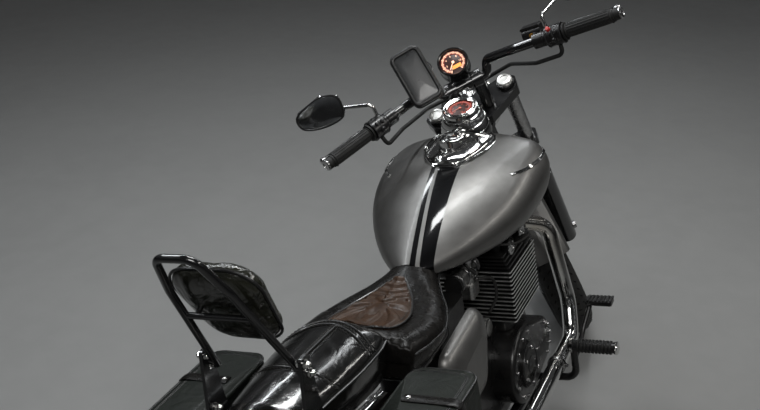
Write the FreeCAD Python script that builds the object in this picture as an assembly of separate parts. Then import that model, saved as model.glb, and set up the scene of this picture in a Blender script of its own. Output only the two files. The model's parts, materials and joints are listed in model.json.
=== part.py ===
"""Cruiser motorcycle, parked on its side stand with the steering on its left stop.

Every piece is drawn upright and straight ahead in the bike frame (x forward from the rear axle,
y to the rider's left, z up from the ground, millimetres). Steered pieces are then turned about the
steering axis, and the whole bike is leaned on to its stand, with z = 0 on the floor.
"""

import FreeCAD
import Part

import math
import os

V = FreeCAD.Vector

# Chassis: the sizes that everything else hangs on. DRAWN_WHEELBASE is the one that stage() measures from.
WHEELBASE = 1655.0
DRAWN_WHEELBASE = 1655.0
RAKE = 33.0
TRAIL = 150.0
LEAN = 10.5
STEER_STOP = 34.0

# Running and seat clearances, and the thickness of pressed sheet.
PIN_GAP = 0.05
SEAT_GAP = 0.3
SWING_GAP = 6.0
SHEET = 4.0

# Wheels. bead and shoulder are radii, the halves are half widths.
REAR_TYRE = dict(outer=326.0, width=168.0, bead=196.0, bead_half=57.0, shoulder=285.0, shoulder_half=76.0)
FRONT_TYRE = dict(outer=322.0, width=112.0, bead=232.0, bead_half=37.0, shoulder=292.0, shoulder_half=50.0)
TYRE_BEAD_RISE = 14.0
RIM_FLANGE = 6.0
RIM_WALL = 12.0
RIM_WELL = 20.0
SPOKE_PAIRS = 5
SPOKE_SPREAD = 13.0
HUB_RADIUS = 40.0
AXLE_RADIUS = 12.5
AXLE_NUT = 20.0

# Rear wheel sides: the disc is on the right and the chain on the left.
REAR_HUB_RIGHT = 88.0
REAR_HUB_LEFT = 98.0
REAR_DISC_RADIUS = 142.0
DISC_THICK = 5.0
DISC_CARRIER = 66.0
SPROCKET_RADIUS = 101.0
SPROCKET_THICK = 8.0
SPROCKET_TEETH = 42
SPROCKET_TOOTH = 6.0
FRONT_HUB_HALF = 52.0
FRONT_DISC_RADIUS = 155.0

# Frame tubes. Heights with LOW and HIGH are along the steering axis from the ground.
HEAD_LOW = 856.0
HEAD_HIGH = 1046.0
HEAD_RADIUS = 28.0
STEM_RADIUS = 15.0
BACKBONE_RADIUS = 22.0
CRADLE_RADIUS = 16.0
CRADLE_HALF = 130.0
CRADLE_LOW = 190.0
SEAT_RAIL_RADIUS = 13.0
SEAT_RAIL_HALF = 120.0
RAIL_Z = 616.0
PIVOT_Z = 335.0
PIVOT_BOLT = 10.0

# Swingarm.
ARM_INNER = 124.0
ARM_THICK = 26.0
ARM_DEPTH = 44.0
BRACE_RADIUS = 21.0

# Shock absorbers: eye centres in (x, z), and how far out they stand.
SHOCK_LOW = (50.0, 366.0)
SHOCK_HIGH = (222.0, 586.0)
SHOCK_Y = 141.0
SHOCK_EYE = 14.0
SHOCK_EYE_HALF = 12.0
SHOCK_PIN = 7.0
SPRING_COILS = 11
SPRING_RADIUS = 26.0

# Fork.
LEG_HALF = 105.0
STANCHION_RADIUS = 20.5
SLIDER_RADIUS = 29.0
SLIDER_LENGTH = 335.0
SLIDER_DROP = 34.0
YOKE_LOW = 826.0
YOKE_HIGH = 1060.0
YOKE_THICK = 28.0
LEG_TOP = 1100.0

# Handlebar, straight ahead: clamp in (x, z), the rise beside it, and the grip's ends.
BAR_RADIUS = 12.7
BAR_CENTRE = (WHEELBASE - 452.0, 1000.0)
BAR_SHOULDER = 1037.0
RISER_HALF = 38.0
RISER_WIDTH = 28.0
GRIP_INNER = (WHEELBASE - 622.0, 276.0, 1038.0)
GRIP_OUTER = (WHEELBASE - 690.0, 392.0, 1032.0)
GRIP_RADIUS = 17.0
SWITCH_RADIUS = 27.0

# Cockpit, straight ahead. The mirror's outline is in (y, z) about its centre.
MIRROR_CENTRE = (WHEELBASE - 593.0, 372.0, 1138.0)
MIRROR_OUTLINE = ((-62, -30), (-66, 20), (-20, 40), (48, 26), (66, 6), (56, -24), (10, -42), (-40, -44))
HEADLAMP = (930.0, 176.0)
HEADLAMP_RADIUS = 88.0
METER_CENTRE = (WHEELBASE - 433.0, 1064.0)
METER_RADIUS = 42.0
METER_TILT = 38.0
PHONE_CENTRE = (WHEELBASE - 567.0, 106.0, 1104.0)
PHONE_HALF = (41.0, 77.0)
PHONE_THICK = 24.0
PHONE_TILT = 24.0
PHONE_ROLL = 3.0

# Engine, about its own middle.
ENGINE_X = WHEELBASE - 680.0
CRANKCASE_HALF = 100.0
FIN_COUNT = 13
FIN_PITCH = 11.5
FIN_THICK = 4.0
FIN_LOW = 456.0
FIN_HALF_X = 104.0
FIN_HALF_Y = 162.0
BARREL_HALF_X = 84.0
BARREL_HALF_Y = 142.0
HEAD_FIN_COUNT = 4
HEAD_FIN_PITCH = 10.0
PORT_HALF = 75.0
INLET_HALF = 62.0
COVER_INNER = 138.0

# Chain, between its inner and outer side, and the gearbox sprocket's centre in (x, z).
CHAIN_Y = (98.5, 105.5)
CHAIN_DEPTH = 14.0
CHAIN_FRONT = (ENGINE_X - 197.0, 322.0)
FRONT_SPROCKET = 36.0

# Exhaust.
HEADER_RADIUS = 22.0
SILENCER_RADIUS = 48.0
SILENCER_LENGTH = 912.0

# Fenders.
REAR_FENDER_INNER = 345.0
REAR_FENDER_HALF = SEAT_RAIL_HALF - SEAT_RAIL_RADIUS - SHEET - 8.0
REAR_FENDER_SKIRT = 60.0
FRONT_FENDER_INNER = 334.0
FRONT_FENDER_HALF = 66.0
FRONT_FENDER_SKIRT = 34.0
FENDER_SHOULDER = 30.0
FENDER_CROWN = 3.0

# Tank and console. Columns of every body table: x, half, wide_z, top_z, shoulder, foot_half, foot_z.
TANK_TABLE = [
    (636, 36, 706, 728, 12, 24, 692),
    (690, 88, 712, 762, 28, 60, 688),
    (780, 150, 726, 810, 46, 108, 684),
    (880, 198, 748, 850, 60, 146, 682),
    (980, 221, 772, 874, 70, 166, 684),
    (1070, 224, 786, 884, 72, 166, 692),
    (1134, 210, 792, 880, 68, 148, 706),
    (1182, 172, 794, 861, 50, 112, 728),
    (1210, 124, 792, 842, 34, 76, 752),
]
CONSOLE_TABLE = [
    (928, 30, 862, 878, 8, 22, 845),
    (960, 62, 870, 892, 12, 54, 845),
    (1020, 86, 874, 904, 16, 78, 845),
    (1090, 88, 874, 906, 18, 80, 840),
    (1130, 72, 868, 896, 16, 62, 835),
    (1158, 40, 860, 882, 9, 30, 830),
]
TANK_TUNNEL = 34.0
DIAL_SPOT = (1088.0, 966.0)
DIAL_RADIUS = 43.0
DIAL_TILT = 18.0
DIAL_BELL = ((68.0, -86.0), (60.0, -40.0), (46.0, -10.0))
FILLER_SPOT = (1006.0, 896.0)
FILLER_RADIUS = 36.0

# Seats.
SEAT_TABLE = [
    (300, 150, 690, 752, 24, 128, 631.4),
    (360, 160, 682, 722, 22, 138, 631.2),
    (450, 160, 672, 706, 20, 132, 630.6),
    (540, 128, 670, 706, 20, 104, 638),
    (620, 84, 676, 722, 20, 66, 656),
    (672, 58, 690, 736, 18, 46, 672),
    (700, 40, 712, 743, 14, 32, 694),
]
PILLION_TABLE = [
    (-72, 56, 738, 766, 14, 40, 664),
    (-40, 82, 738, 782, 22, 60, 660),
    (30, 92, 736, 788, 26, 68, 656),
    (160, 106, 732, 787, 28, 80, 646),
    (250, 108, 730, 784, 26, 84, 640),
    (288, 102, 730, 776, 22, 82, 640),
]

# Backrest: the arch from its foot to its top in (x, z), its half width there, and the cushion.
SISSY_FOOT = (-20.0, 850.0)
SISSY_TOP = (-162.0, 1123.0)
SISSY_HALF = SEAT_RAIL_HALF - 32.0
SISSY_BEND = (0.71, 60.0)
SISSY_CROWN = 37.0
SISSY_PLATE = 7.0
SISSY_RADIUS = 7.5
BACKREST_MIDDLE = (-64.0, 978.0)
BACKREST_TILT = 27.5
BACKREST_HALF = (97.0, 104.0)
BACKREST_THICK = 48.0

# Saddlebags, the left one; the right one is its mirror.
BAG_INNER = 176.0
BAG_OUTER = 302.0
BAG_REAR = -175.0
BAG_FRONT = 250.0
BAG_LOW = 378.0
BAG_TOP = 690.0
BAG_WALL = 5.0
BAG_CORNER = 32.0
LID_THICK = 5.0
LID_GAP = 2.0
LID_SKIRT = 24.0
LID_FLAP = 150.0
LID_OPEN = 100.0
HINGE_OUT = 6.0
HINGE_RADIUS = 5.0

# Pegs and side stand: the stand's pivot, its foot and its folded direction.
PEG_X = ENGINE_X + 73.0
PEG_Z = 296.0
PEG_ARM_Y = 248.0
PEG_ARM_RADIUS = 10.0
STAND_PIVOT = (ENGINE_X - 275.0, 158.0, 205.0)
STAND_FOOT_X = ENGINE_X - 175.0
STAND_FOOT_Y = 292.0
STAND_RADIUS = 11.0
STAND_FOLDED = (-0.97, 0.14, -0.06)


# Small tools

def mirrored(shape):
    """The shape on the other side of the bike."""
    return shape.mirror(V(0, 0, 0), V(0, 1, 0))


def both_sides(shape):
    return [shape, mirrored(shape)]


def joined(shapes):
    """One shape from many, with the seams between flush faces removed."""
    whole = shapes[0].multiFuse(shapes[1:]).removeSplitter() if len(shapes) > 1 else shapes[0]
    return whole.Solids[0] if len(whole.Solids) == 1 else whole


def less(shape, *cutters):
    for cutter in cutters:
        shape = shape.cut(cutter)
    return shape.Solids[0] if len(shape.Solids) == 1 else shape


def rod(start, end, radius):
    """A round bar from start to end."""
    along = end - start
    return Part.makeCylinder(radius, along.Length, start, along)


def across(x, z, y_from, y_to, radius):
    """A round bar along y."""
    return rod(V(x, y_from, z), V(x, y_to, z), radius)


def bent_path(points, bends):
    """Straight runs joined by tangent arcs. bends is one radius, or one for each inner point."""
    inner = points[1:-1]
    radii = bends if isinstance(bends, (list, tuple)) else [bends] * len(inner)
    edges = []
    here = points[0]
    for before, corner, after, radius in zip(points, inner, points[2:], radii):
        back = (before - corner).normalize()
        on = (after - corner).normalize()
        half = back.getAngle(on) / 2
        reach = radius / math.tan(half)
        start = corner + back * reach
        end = corner + on * reach
        middle = corner + (back + on).normalize() * (radius / math.sin(half) - radius)
        edges.append(Part.LineSegment(here, start).toShape())
        edges.append(Part.Arc(start, middle, end).toShape())
        here = end
    edges.append(Part.LineSegment(here, points[-1]).toShape())
    return Part.Wire(edges)


def tube(points, radius, bends=40.0):
    """A round tube along a bent path."""
    points = [V(*p) for p in points]
    if len(points) == 2:
        return rod(points[0], points[1], radius)
    ring = Part.Wire(Part.makeCircle(radius, points[0], points[1] - points[0]))
    return bent_path(points, bends).makePipeShell([ring], True, False)


def outline(points, corner=0.0):
    """A closed flat wire through points, its corners rounded to one radius."""
    points = [V(*p) for p in points]
    if not corner:
        return Part.makePolygon(points + points[:1])
    edges = []
    count = len(points)
    spans = []
    for i, here in enumerate(points):
        back = (points[i - 1] - here).normalize()
        on = (points[(i + 1) % count] - here).normalize()
        half = back.getAngle(on) / 2
        reach = corner / math.tan(half)
        middle = here + (back + on).normalize() * (corner / math.sin(half) - corner)
        spans.append((here + back * reach, middle, here + on * reach))
    for i, (start, middle, end) in enumerate(spans):
        edges.append(Part.Arc(start, middle, end).toShape())
        edges.append(Part.LineSegment(end, spans[(i + 1) % count][0]).toShape())
    return Part.Wire(edges)


def plate(points, corner, y_from, y_to):
    """A plate standing along the bike: its outline in (x, z), its thickness along y."""
    face = Part.Face(outline([(x, y_from, z) for x, z in points], corner))
    return face.extrude(V(0, y_to - y_from, 0))


def block(x, y, z, corner=0.0):
    """A box from (low, high) pairs, its upright corners rounded."""
    ring = outline([(x[0], y[0], z[0]), (x[1], y[0], z[0]), (x[1], y[1], z[0]), (x[0], y[1], z[0])], corner)
    return Part.Face(ring).extrude(V(0, 0, z[1] - z[0]))


def turned(profile, centre, axis=V(0, 1, 0), angle=360.0):
    """A closed (radius, along) profile turned about the axis. The profile starts on +x for the y axis."""
    out = V(1, 0, 0) if abs(axis.x) < 0.5 else V(0, 0, 1)
    out = (out - axis * out.dot(axis)).normalize()
    points = [centre + out * r + axis * a for r, a in profile]
    face = Part.Face(Part.makePolygon(points + points[:1]))
    return face.revolve(centre, axis, angle)


def pod_wire(x, half, wide_z, top_z, shoulder, foot_half, foot_z):
    """A closed section across the bike: a crowned top, round shoulders, sides that tuck in, a flat foot."""
    a = half - shoulder
    rise = top_z - wide_z
    crown = (a * a + rise * rise - shoulder * shoulder) / (2 * (rise - shoulder))
    crown_z = top_z - crown
    unit_y = a / (crown - shoulder)
    unit_z = (wide_z - crown_z) / (crown - shoulder)
    shoulder_end = (crown * unit_y, crown_z + crown * unit_z)
    bulge = math.atan2(unit_z, unit_y) / 2
    shoulder_mid = (a + shoulder * math.cos(bulge), wide_z + shoulder * math.sin(bulge))
    inset = half - foot_half
    drop = wide_z - foot_z
    side = (inset * inset + drop * drop) / (2 * inset)
    sweep = math.asin(drop / side) / 2 if inset < drop else (math.pi - math.asin(drop / side)) / 2
    side_mid = (half - side + side * math.cos(sweep), wide_z - side * math.sin(sweep))

    def at(y, z, flip=1):
        return V(x, y * flip, z)

    edges = [
        Part.LineSegment(at(-foot_half, foot_z), at(foot_half, foot_z)).toShape(),
        Part.Arc(at(foot_half, foot_z), at(*side_mid), at(half, wide_z)).toShape(),
        Part.Arc(at(half, wide_z), at(*shoulder_mid), at(*shoulder_end)).toShape(),
        Part.Arc(at(*shoulder_end), at(0, top_z), at(*shoulder_end, -1)).toShape(),
        Part.Arc(at(*shoulder_end, -1), at(*shoulder_mid, -1), at(half, wide_z, -1)).toShape(),
        Part.Arc(at(half, wide_z, -1), at(*side_mid, -1), at(-foot_half, foot_z)).toShape(),
    ]
    return Part.Wire(edges)


def pod(table):
    """A body lofted through sections across the bike, one for each row of its table."""
    sections = []
    for x, half, wide_z, top_z, shoulder, foot_half, foot_z in table:
        sections.append(pod_wire(stage(x), half, wide_z, top_z, shoulder, foot_half, foot_z))
    return Part.makeLoft(sections, True, False)


# Places on the bike

def steer_axis():
    """A point on the steering axis at the ground, and the axis upwards."""
    rake = math.radians(RAKE)
    return V(WHEELBASE + TRAIL, 0, 0), V(-math.sin(rake), 0, math.cos(rake))


def fork_point(s, e, y=0.0):
    """A point s along the steering axis from the ground and e ahead of it."""
    foot, up = steer_axis()
    ahead = V(up.z, 0, -up.x)
    return foot + up * s + ahead * e + V(0, y, 0)


def axle_ahead():
    """How far the front axle is ahead of the steering axis."""
    rake = math.radians(RAKE)
    return FRONT_TYRE["outer"] * math.sin(rake) - TRAIL * math.cos(rake)


def axle_along():
    """How far along the steering axis the front axle is."""
    rake = math.radians(RAKE)
    return (FRONT_TYRE["outer"] - axle_ahead() * math.sin(rake)) / math.cos(rake)


def stage(x):
    """A place along the frame, x as drawn, moved in step when the wheelbase changes."""
    return x * WHEELBASE / DRAWN_WHEELBASE


PIVOT_X = stage(432.0)
BRACE_X = stage(388.0)
REAR_AXLE = V(0, 0, REAR_TYRE["outer"])
FRONT_AXLE = V(WHEELBASE, 0, FRONT_TYRE["outer"])


def steer_placement(degrees):
    foot, up = steer_axis()
    return FreeCAD.Placement(V(0, 0, 0), FreeCAD.Rotation(up, degrees), foot)


def crown_radius(tyre):
    """The radius of the tyre's crown, seen along the road."""
    rise = tyre["outer"] - tyre["shoulder"]
    half = tyre["shoulder_half"]
    return (half * half + rise * rise) / (2 * rise)


def lowest_point(tyre, centre, axle, place):
    """How low a tyre reaches with the bike placed."""
    crown = crown_radius(tyre)
    tilt = place.Rotation.multVec(axle).z
    return place.multVec(centre).z - (tyre["outer"] - crown) * math.sqrt(1 - tilt * tilt) - crown


def parked_placement():
    """The lean, and the small pitch and drop that set both tyres on the floor with the fork turned."""
    steer = steer_placement(STEER_STOP)
    front = steer.multVec(FRONT_AXLE)
    front_axle = steer.Rotation.multVec(V(0, 1, 0))
    lean = FreeCAD.Rotation(V(1, 0, 0), -LEAN)
    pitch = 0.0
    for _ in range(6):
        place = FreeCAD.Placement(V(0, 0, 0), lean.multiply(FreeCAD.Rotation(V(0, 1, 0), pitch)))
        rear_low = lowest_point(REAR_TYRE, REAR_AXLE, V(0, 1, 0), place)
        front_low = lowest_point(FRONT_TYRE, front, front_axle, place)
        pitch += math.degrees((front_low - rear_low) / WHEELBASE)
    place.Base = V(0, 0, -rear_low)
    return place


# Wheels

def tyre_solid(tyre, centre):
    """A tyre turned about its axle: flat inside, round sidewalls and one crown arc."""
    bead = tyre["bead"]
    half = tyre["bead_half"]
    wide = tyre["width"] / 2
    top = bead + TYRE_BEAD_RISE
    wide_r = (top + tyre["shoulder"]) / 2 + 6

    def at(r, y):
        return centre + V(r, y, 0)

    right = [at(bead, -half), at(top, -half), at(wide_r, -wide), at(tyre["shoulder"], -tyre["shoulder_half"])]
    left = [at(bead, half), at(top, half), at(wide_r, wide), at(tyre["shoulder"], tyre["shoulder_half"])]
    edges = [
        Part.LineSegment(left[0], right[0]).toShape(),
        Part.LineSegment(right[0], right[1]).toShape(),
        Part.Arc(right[1], right[2], right[3]).toShape(),
        Part.Arc(right[3], at(tyre["outer"], 0), left[3]).toShape(),
        Part.Arc(left[3], left[2], left[1]).toShape(),
        Part.LineSegment(left[1], left[0]).toShape(),
    ]
    return Part.Face(Part.Wire(edges)).revolve(centre, V(0, 1, 0), 360)


def spoke(centre, from_r, to_r, foot_shift, tip_shift):
    """One cast spoke, pointing up: a tapered bar from the hub to the rim."""
    def ring(r, shift, half_x, half_y):
        z = centre.z + r
        return outline([
            (centre.x + shift - half_x, -half_y, z), (centre.x + shift + half_x, -half_y, z),
            (centre.x + shift + half_x, half_y, z), (centre.x + shift - half_x, half_y, z),
        ], 5.0)
    return Part.makeLoft([ring(from_r, foot_shift, 13, 19), ring(to_r, tip_shift, 9, 12)], True, True)


def cast_wheel(tyre, centre, hub_right, hub_left):
    """Rim, five pairs of spokes and hub, bored for the axle."""
    bead = tyre["bead"]
    half = tyre["bead_half"]
    flange = bead + TYRE_BEAD_RISE - 1.0
    edge = half + RIM_FLANGE
    well = bead - RIM_WELL
    rim = turned([
        (bead, -half), (flange, -half), (flange, -edge), (bead - RIM_WALL, -edge), (well, -half * 0.55),
        (well, half * 0.55), (bead - RIM_WALL, edge), (flange, edge), (flange, half), (bead, half),
    ], centre)
    parts = [rim, rod(centre - V(0, hub_right, 0), centre + V(0, hub_left, 0), HUB_RADIUS)]
    tip = bead - RIM_WALL / 2 - 4
    for pair in range(SPOKE_PAIRS):
        for side in (-1, 1):
            spread = tip * math.sin(math.radians(SPOKE_SPREAD))
            leg = spoke(centre, HUB_RADIUS - 8, tip, side * 10, side * spread)
            leg.rotate(centre, V(0, 1, 0), pair * 360 / SPOKE_PAIRS)
            parts.append(leg)
    wheel = joined(parts)
    bore = rod(centre - V(0, hub_right + 5, 0), centre + V(0, hub_left + 5, 0), AXLE_RADIUS + PIN_GAP)
    return wheel.cut(bore)


def disc_ring(centre, y_from, y_to, outer, inner, holes, hole_radius):
    """A brake disc with a ring of holes."""
    disc = rod(centre + V(0, y_from, 0), centre + V(0, y_to, 0), outer)
    disc = disc.cut(rod(centre + V(0, y_from - 1, 0), centre + V(0, y_to + 1, 0), inner))
    ring_r = (outer + DISC_CARRIER) / 2 + 8
    cutters = []
    for i in range(holes):
        turn = 2 * math.pi * i / holes
        spot = centre + V(ring_r * math.cos(turn), 0, ring_r * math.sin(turn))
        cutters.append(rod(spot + V(0, y_from - 1, 0), spot + V(0, y_to + 1, 0), hole_radius))
    return less(disc, *cutters)


def sprocket(centre, y_from, y_to):
    """The rear sprocket, its teeth as a zigzag outline."""
    points = []
    for i in range(SPROCKET_TEETH):
        root = SPROCKET_RADIUS - SPROCKET_TOOTH
        for part, radius in ((0.0, root), (0.35, SPROCKET_RADIUS), (0.6, SPROCKET_RADIUS)):
            turn = 2 * math.pi * (i + part) / SPROCKET_TEETH
            points.append((centre.x + radius * math.cos(turn), y_from, centre.z + radius * math.sin(turn)))
    wheel = Part.Face(outline(points)).extrude(V(0, y_to - y_from, 0))
    hub_hole = rod(centre + V(0, y_from - 1, 0), centre + V(0, y_to + 1, 0), AXLE_NUT + SWING_GAP)
    return wheel.cut(hub_hole)


def rear_discs():
    right = -REAR_HUB_RIGHT
    brake = disc_ring(REAR_AXLE, right - DISC_THICK, right, REAR_DISC_RADIUS, AXLE_NUT + SWING_GAP, 16, 6.0)
    return [brake, sprocket(REAR_AXLE, REAR_HUB_LEFT, REAR_HUB_LEFT + SPROCKET_THICK)]


def front_disc():
    return disc_ring(FRONT_AXLE, FRONT_HUB_HALF, FRONT_HUB_HALF + DISC_THICK, FRONT_DISC_RADIUS,
                     AXLE_NUT + SWING_GAP, 18, 6.0)


def rear_axle():
    """The rear spindle with its nuts, and the spacers between the hub and the arms."""
    outside = ARM_INNER + ARM_THICK
    disc_side = REAR_HUB_RIGHT + DISC_THICK + 2
    chain_side = REAR_HUB_LEFT + SPROCKET_THICK + 2
    x, z = REAR_AXLE.x, REAR_AXLE.z
    return joined([
        across(x, z, -outside - 14, outside + 14, AXLE_RADIUS),
        across(x, z, -outside - 10, -outside, AXLE_NUT), across(x, z, outside, outside + 10, AXLE_NUT),
        across(x, z, -ARM_INNER, -disc_side, AXLE_NUT), across(x, z, chain_side, ARM_INNER, AXLE_NUT),
    ])


def front_axle():
    """The front spindle with its end flanges and spacers."""
    inner = LEG_HALF - SLIDER_RADIUS
    end = LEG_HALF + SLIDER_RADIUS + 8
    x, z = FRONT_AXLE.x, FRONT_AXLE.z
    spacers = [across(x, z, side * (FRONT_HUB_HALF + 8), side * inner, AXLE_NUT) for side in (-1, 1)]
    return joined([across(x, z, -end, end, AXLE_RADIUS)] + spacers)


# Frame

def head_tube():
    """The head tube with its two bearing cups."""
    cups = [rod(fork_point(s, 0), fork_point(s + 16, 0), HEAD_RADIUS + 5) for s in (HEAD_LOW, HEAD_HIGH - 16)]
    return joined([rod(fork_point(HEAD_LOW, 0), fork_point(HEAD_HIGH, 0), HEAD_RADIUS)] + cups)


def bag_stays():
    """Two stays on each side, from the seat rail out to the saddlebag."""
    return [across(x, z, side * SEAT_RAIL_HALF, side * (BAG_INNER - SEAT_GAP), 8)
            for x, z in ((-20, 656), (150, 620)) for side in (-1, 1)]


def main_frame():
    """Head tube, backbone, twin downtubes, cradle, uprights and seat rails, welded into one."""
    low = CRADLE_LOW
    half = CRADLE_HALF
    rail_half = SEAT_RAIL_HALF
    head = fork_point(HEAD_LOW, 0)
    cradle = tube([
        (head.x - 37, 20, head.z + 58), (stage(1135), 72, 236),
        (stage(1060), half, low), (stage(520), half, low),
        (PIVOT_X, half, PIVOT_Z), (stage(345), rail_half, RAIL_Z - 2),
    ], CRADLE_RADIUS, [60, 60, 70, 120])
    rail = tube([
        (stage(700), 8, RAIL_Z + 32), (stage(600), 80, RAIL_Z + 16), (stage(520), rail_half, RAIL_Z),
        (200, rail_half, RAIL_Z + 2), (-70, rail_half, RAIL_Z + 52),
    ], SEAT_RAIL_RADIUS, [60, 60, 200])
    backbone = tube([(head.x - 48, 0, head.z + 78), (stage(1120), 0, 752), (stage(660), 0, RAIL_Z + 24)],
                    BACKBONE_RADIUS, 300)
    gusset = plate([
        (head.x - 58, head.z + 82), (stage(1150), 758), (stage(1200), 560), (head.x - 38, head.z + 12),
    ], 6, -7, 7)
    crosses = [
        across(stage(520), low, -half, half, 12), across(stage(345), RAIL_Z - 4, -rail_half, rail_half, 12),
        across(stage(500), RAIL_Z, -rail_half, rail_half, 10), across(stage(1185), 375, -58, 58, 10),
        across(stage(1150), 764, -TANK_TUNNEL + SEAT_GAP, TANK_TUNNEL - SEAT_GAP, 9),
    ]
    lugs = []
    for piece in shock_lug(SHOCK_HIGH, rail_half - 6, SHOCK_HIGH[1] - 14, RAIL_Z + 2):
        lugs += both_sides(piece)
    tubes = [head_tube(), backbone, gusset] + both_sides(cradle) + both_sides(rail)
    whole = joined(tubes + crosses + lugs + bag_stays() + stand_bracket())
    bore = rod(fork_point(HEAD_LOW - 5, 0), fork_point(HEAD_HIGH + 5, 0), STEM_RADIUS + PIN_GAP)
    pivot = across(PIVOT_X, PIVOT_Z, -200, 200, PIVOT_BOLT + 0.1)
    return less(whole, bore, pivot)


def swingarm():
    """Two arms joined by a brace ahead of the tyre, and webs back to the pivot tube."""
    z = REAR_AXLE.z
    arm = plate([
        (-48, z - 20), (-48, z + 24), (60, z + ARM_DEPTH / 2), (BRACE_X + 14, z + 26), (BRACE_X + 14, z - 14),
        (60, z - ARM_DEPTH / 2),
    ], 9, ARM_INNER, ARM_INNER + ARM_THICK)
    inner = CRADLE_HALF - CRADLE_RADIUS - 4
    web = plate([
        (BRACE_X - 10, z + 22), (PIVOT_X + 4, PIVOT_Z + 20),
        (PIVOT_X + 4, PIVOT_Z - 20), (BRACE_X - 10, z - 12),
    ], 4, inner - 20, inner)
    outer = ARM_INNER + ARM_THICK
    bolt = CRADLE_HALF + CRADLE_RADIUS + 10
    parts = both_sides(arm) + both_sides(web)
    parts.append(across(BRACE_X, z + 6, -outer, outer, BRACE_RADIUS))
    parts.append(across(PIVOT_X, PIVOT_Z, -inner, inner, BRACE_RADIUS))
    parts.append(across(PIVOT_X, PIVOT_Z, -bolt, bolt, PIVOT_BOLT))
    for piece in shock_lug(SHOCK_LOW, ARM_INNER - 2, 340, SHOCK_LOW[1] + 14):
        parts += both_sides(piece)
    whole = joined(parts)
    return whole.cut(across(0, z, -200, 200, AXLE_RADIUS + 0.1))


def shock_lug(spot, y_from, low_z, high_z):
    """A lug beside a shock's eye with the pin through it."""
    x, z = spot
    ear = plate([(x - 15, low_z), (x + 15, low_z), (x + 15, high_z), (x - 15, high_z)], 5, y_from,
                SHOCK_Y - SHOCK_EYE_HALF - SEAT_GAP)
    return [ear, across(x, z, y_from, SHOCK_Y + SHOCK_EYE_HALF + 4, SHOCK_PIN)]


def shocks():
    """Twin shock absorbers: eyes, damper body and a spring drawn as its coils."""
    low = V(SHOCK_LOW[0], SHOCK_Y, SHOCK_LOW[1])
    high = V(SHOCK_HIGH[0], SHOCK_Y, SHOCK_HIGH[1])
    along = (high - low).normalize()
    length = (high - low).Length
    spring_from = 66.0
    spring_to = length - 52
    pitch = (spring_to - spring_from) / SPRING_COILS
    deep, mid, full = SPRING_RADIUS - 9, SPRING_RADIUS - 3, SPRING_RADIUS
    spring = [(0, spring_from - 2)]
    for i in range(SPRING_COILS):
        start = spring_from + pitch * i
        spring += [(deep, start), (mid, start + pitch * 0.15), (full, start + pitch * 0.35)]
        spring += [(full, start + pitch * 0.5), (mid, start + pitch * 0.7), (deep, start + pitch * 0.85)]
    spring += [(deep, spring_to), (0, spring_to)]
    parts = [turned(spring, low, along)]
    for start, end, radius in (
            (0, spring_from + 4, 11), (spring_from - 8, spring_from, full + 1), (spring_to, length - 22, 19),
            (length - 24, length, 11), (spring_to, spring_to + 8, full + 1)):
        parts.append(rod(low + along * start, low + along * end, radius))
    for spot in (low, high):
        parts.append(across(spot.x, spot.z, SHOCK_Y - SHOCK_EYE_HALF, SHOCK_Y + SHOCK_EYE_HALF, SHOCK_EYE))
    pins = [across(spot.x, spot.z, SHOCK_Y - 20, SHOCK_Y + 20, SHOCK_PIN + PIN_GAP) for spot in (low, high)]
    return both_sides(less(joined(parts), *pins))


# Engine

def crankcase():
    """The crankcase with its sump, gearbox and starter motor: the engine's heavy block."""
    x = ENGINE_X
    case = plate([
        (x - 273, 262), (x - 237, 186), (x + 35, 178), (x + 87, 216), (x + 133, 300), (x + 137, 350),
        (x + 105, 424), (x - 95, 440), (x - 205, 424), (x - 269, 372),
    ], 16, -CRANKCASE_HALF, CRANKCASE_HALF)
    deck = block((x - 96, x + 100), (-138, 138), (424, FIN_LOW - 4), 22)
    starter = [across(x - 149, 462, -88, 60, 30), across(x - 149, 462, -104, -88, 24)]
    ribs = [block((x - 215 + 60 * i, x - 207 + 60 * i), (-78, 78), (168, 192)) for i in range(5)]
    feet = [block((x + dx, x + dx + 44), (-rail_inside(), rail_inside()), (182, 200)) for dx in (-223, -25)]
    shaft = across(*CHAIN_FRONT, 88, CHAIN_Y[1], FRONT_SPROCKET - SEAT_GAP)
    return joined([less(joined([case, deck] + starter + ribs + feet), chain_room(-10)), shaft])


def rail_inside():
    return CRADLE_HALF - CRADLE_RADIUS - 0.2


def chain_room(side_gap):
    """The space in the cover and the case that the chain runs in."""
    x, z = CHAIN_FRONT
    low = CHAIN_Y[0] + side_gap
    high = CHAIN_Y[1] + SWING_GAP
    radius = FRONT_SPROCKET + CHAIN_DEPTH + SWING_GAP
    run = block((x - 110, x), (low, high), (z - radius - 6, z + radius + 8))
    return joined([across(x, z, low, high, radius), run])


def round_cover(spots, y_from, y_to, edge):
    """A side cover: round bosses (x, z, radius) joined by their shared tangents, its outer edge rounded."""
    bosses = [Part.Face(Part.Wire(Part.makeCircle(r, V(x, y_from, z), V(0, 1, 0)))) for x, z, r in spots]
    (x0, z0, r0), (x1, z1, r1) = spots[0], spots[1]
    span = math.hypot(x1 - x0, z1 - z0)
    lean = math.atan2(z1 - z0, x1 - x0)
    spread = math.acos((r0 - r1) / span)
    corners = []
    for x, z, r, sign in ((x0, z0, r0, 1), (x1, z1, r1, 1), (x1, z1, r1, -1), (x0, z0, r0, -1)):
        turn = lean + sign * spread
        corners.append((x + r * math.cos(turn), y_from, z + r * math.sin(turn)))
    web = Part.Face(outline(corners))
    face = web.multiFuse(bosses).removeSplitter()
    solid = face.extrude(V(0, y_to - y_from, 0)).removeSplitter()
    if solid.ShapeType == "Compound":
        solid = solid.Solids[0]
    rims = [e for e in solid.Edges if max(abs(e.BoundBox.YMin - y_to), abs(e.BoundBox.YMax - y_to)) < 1e-4]
    return solid.makeFillet(edge, rims)


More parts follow.
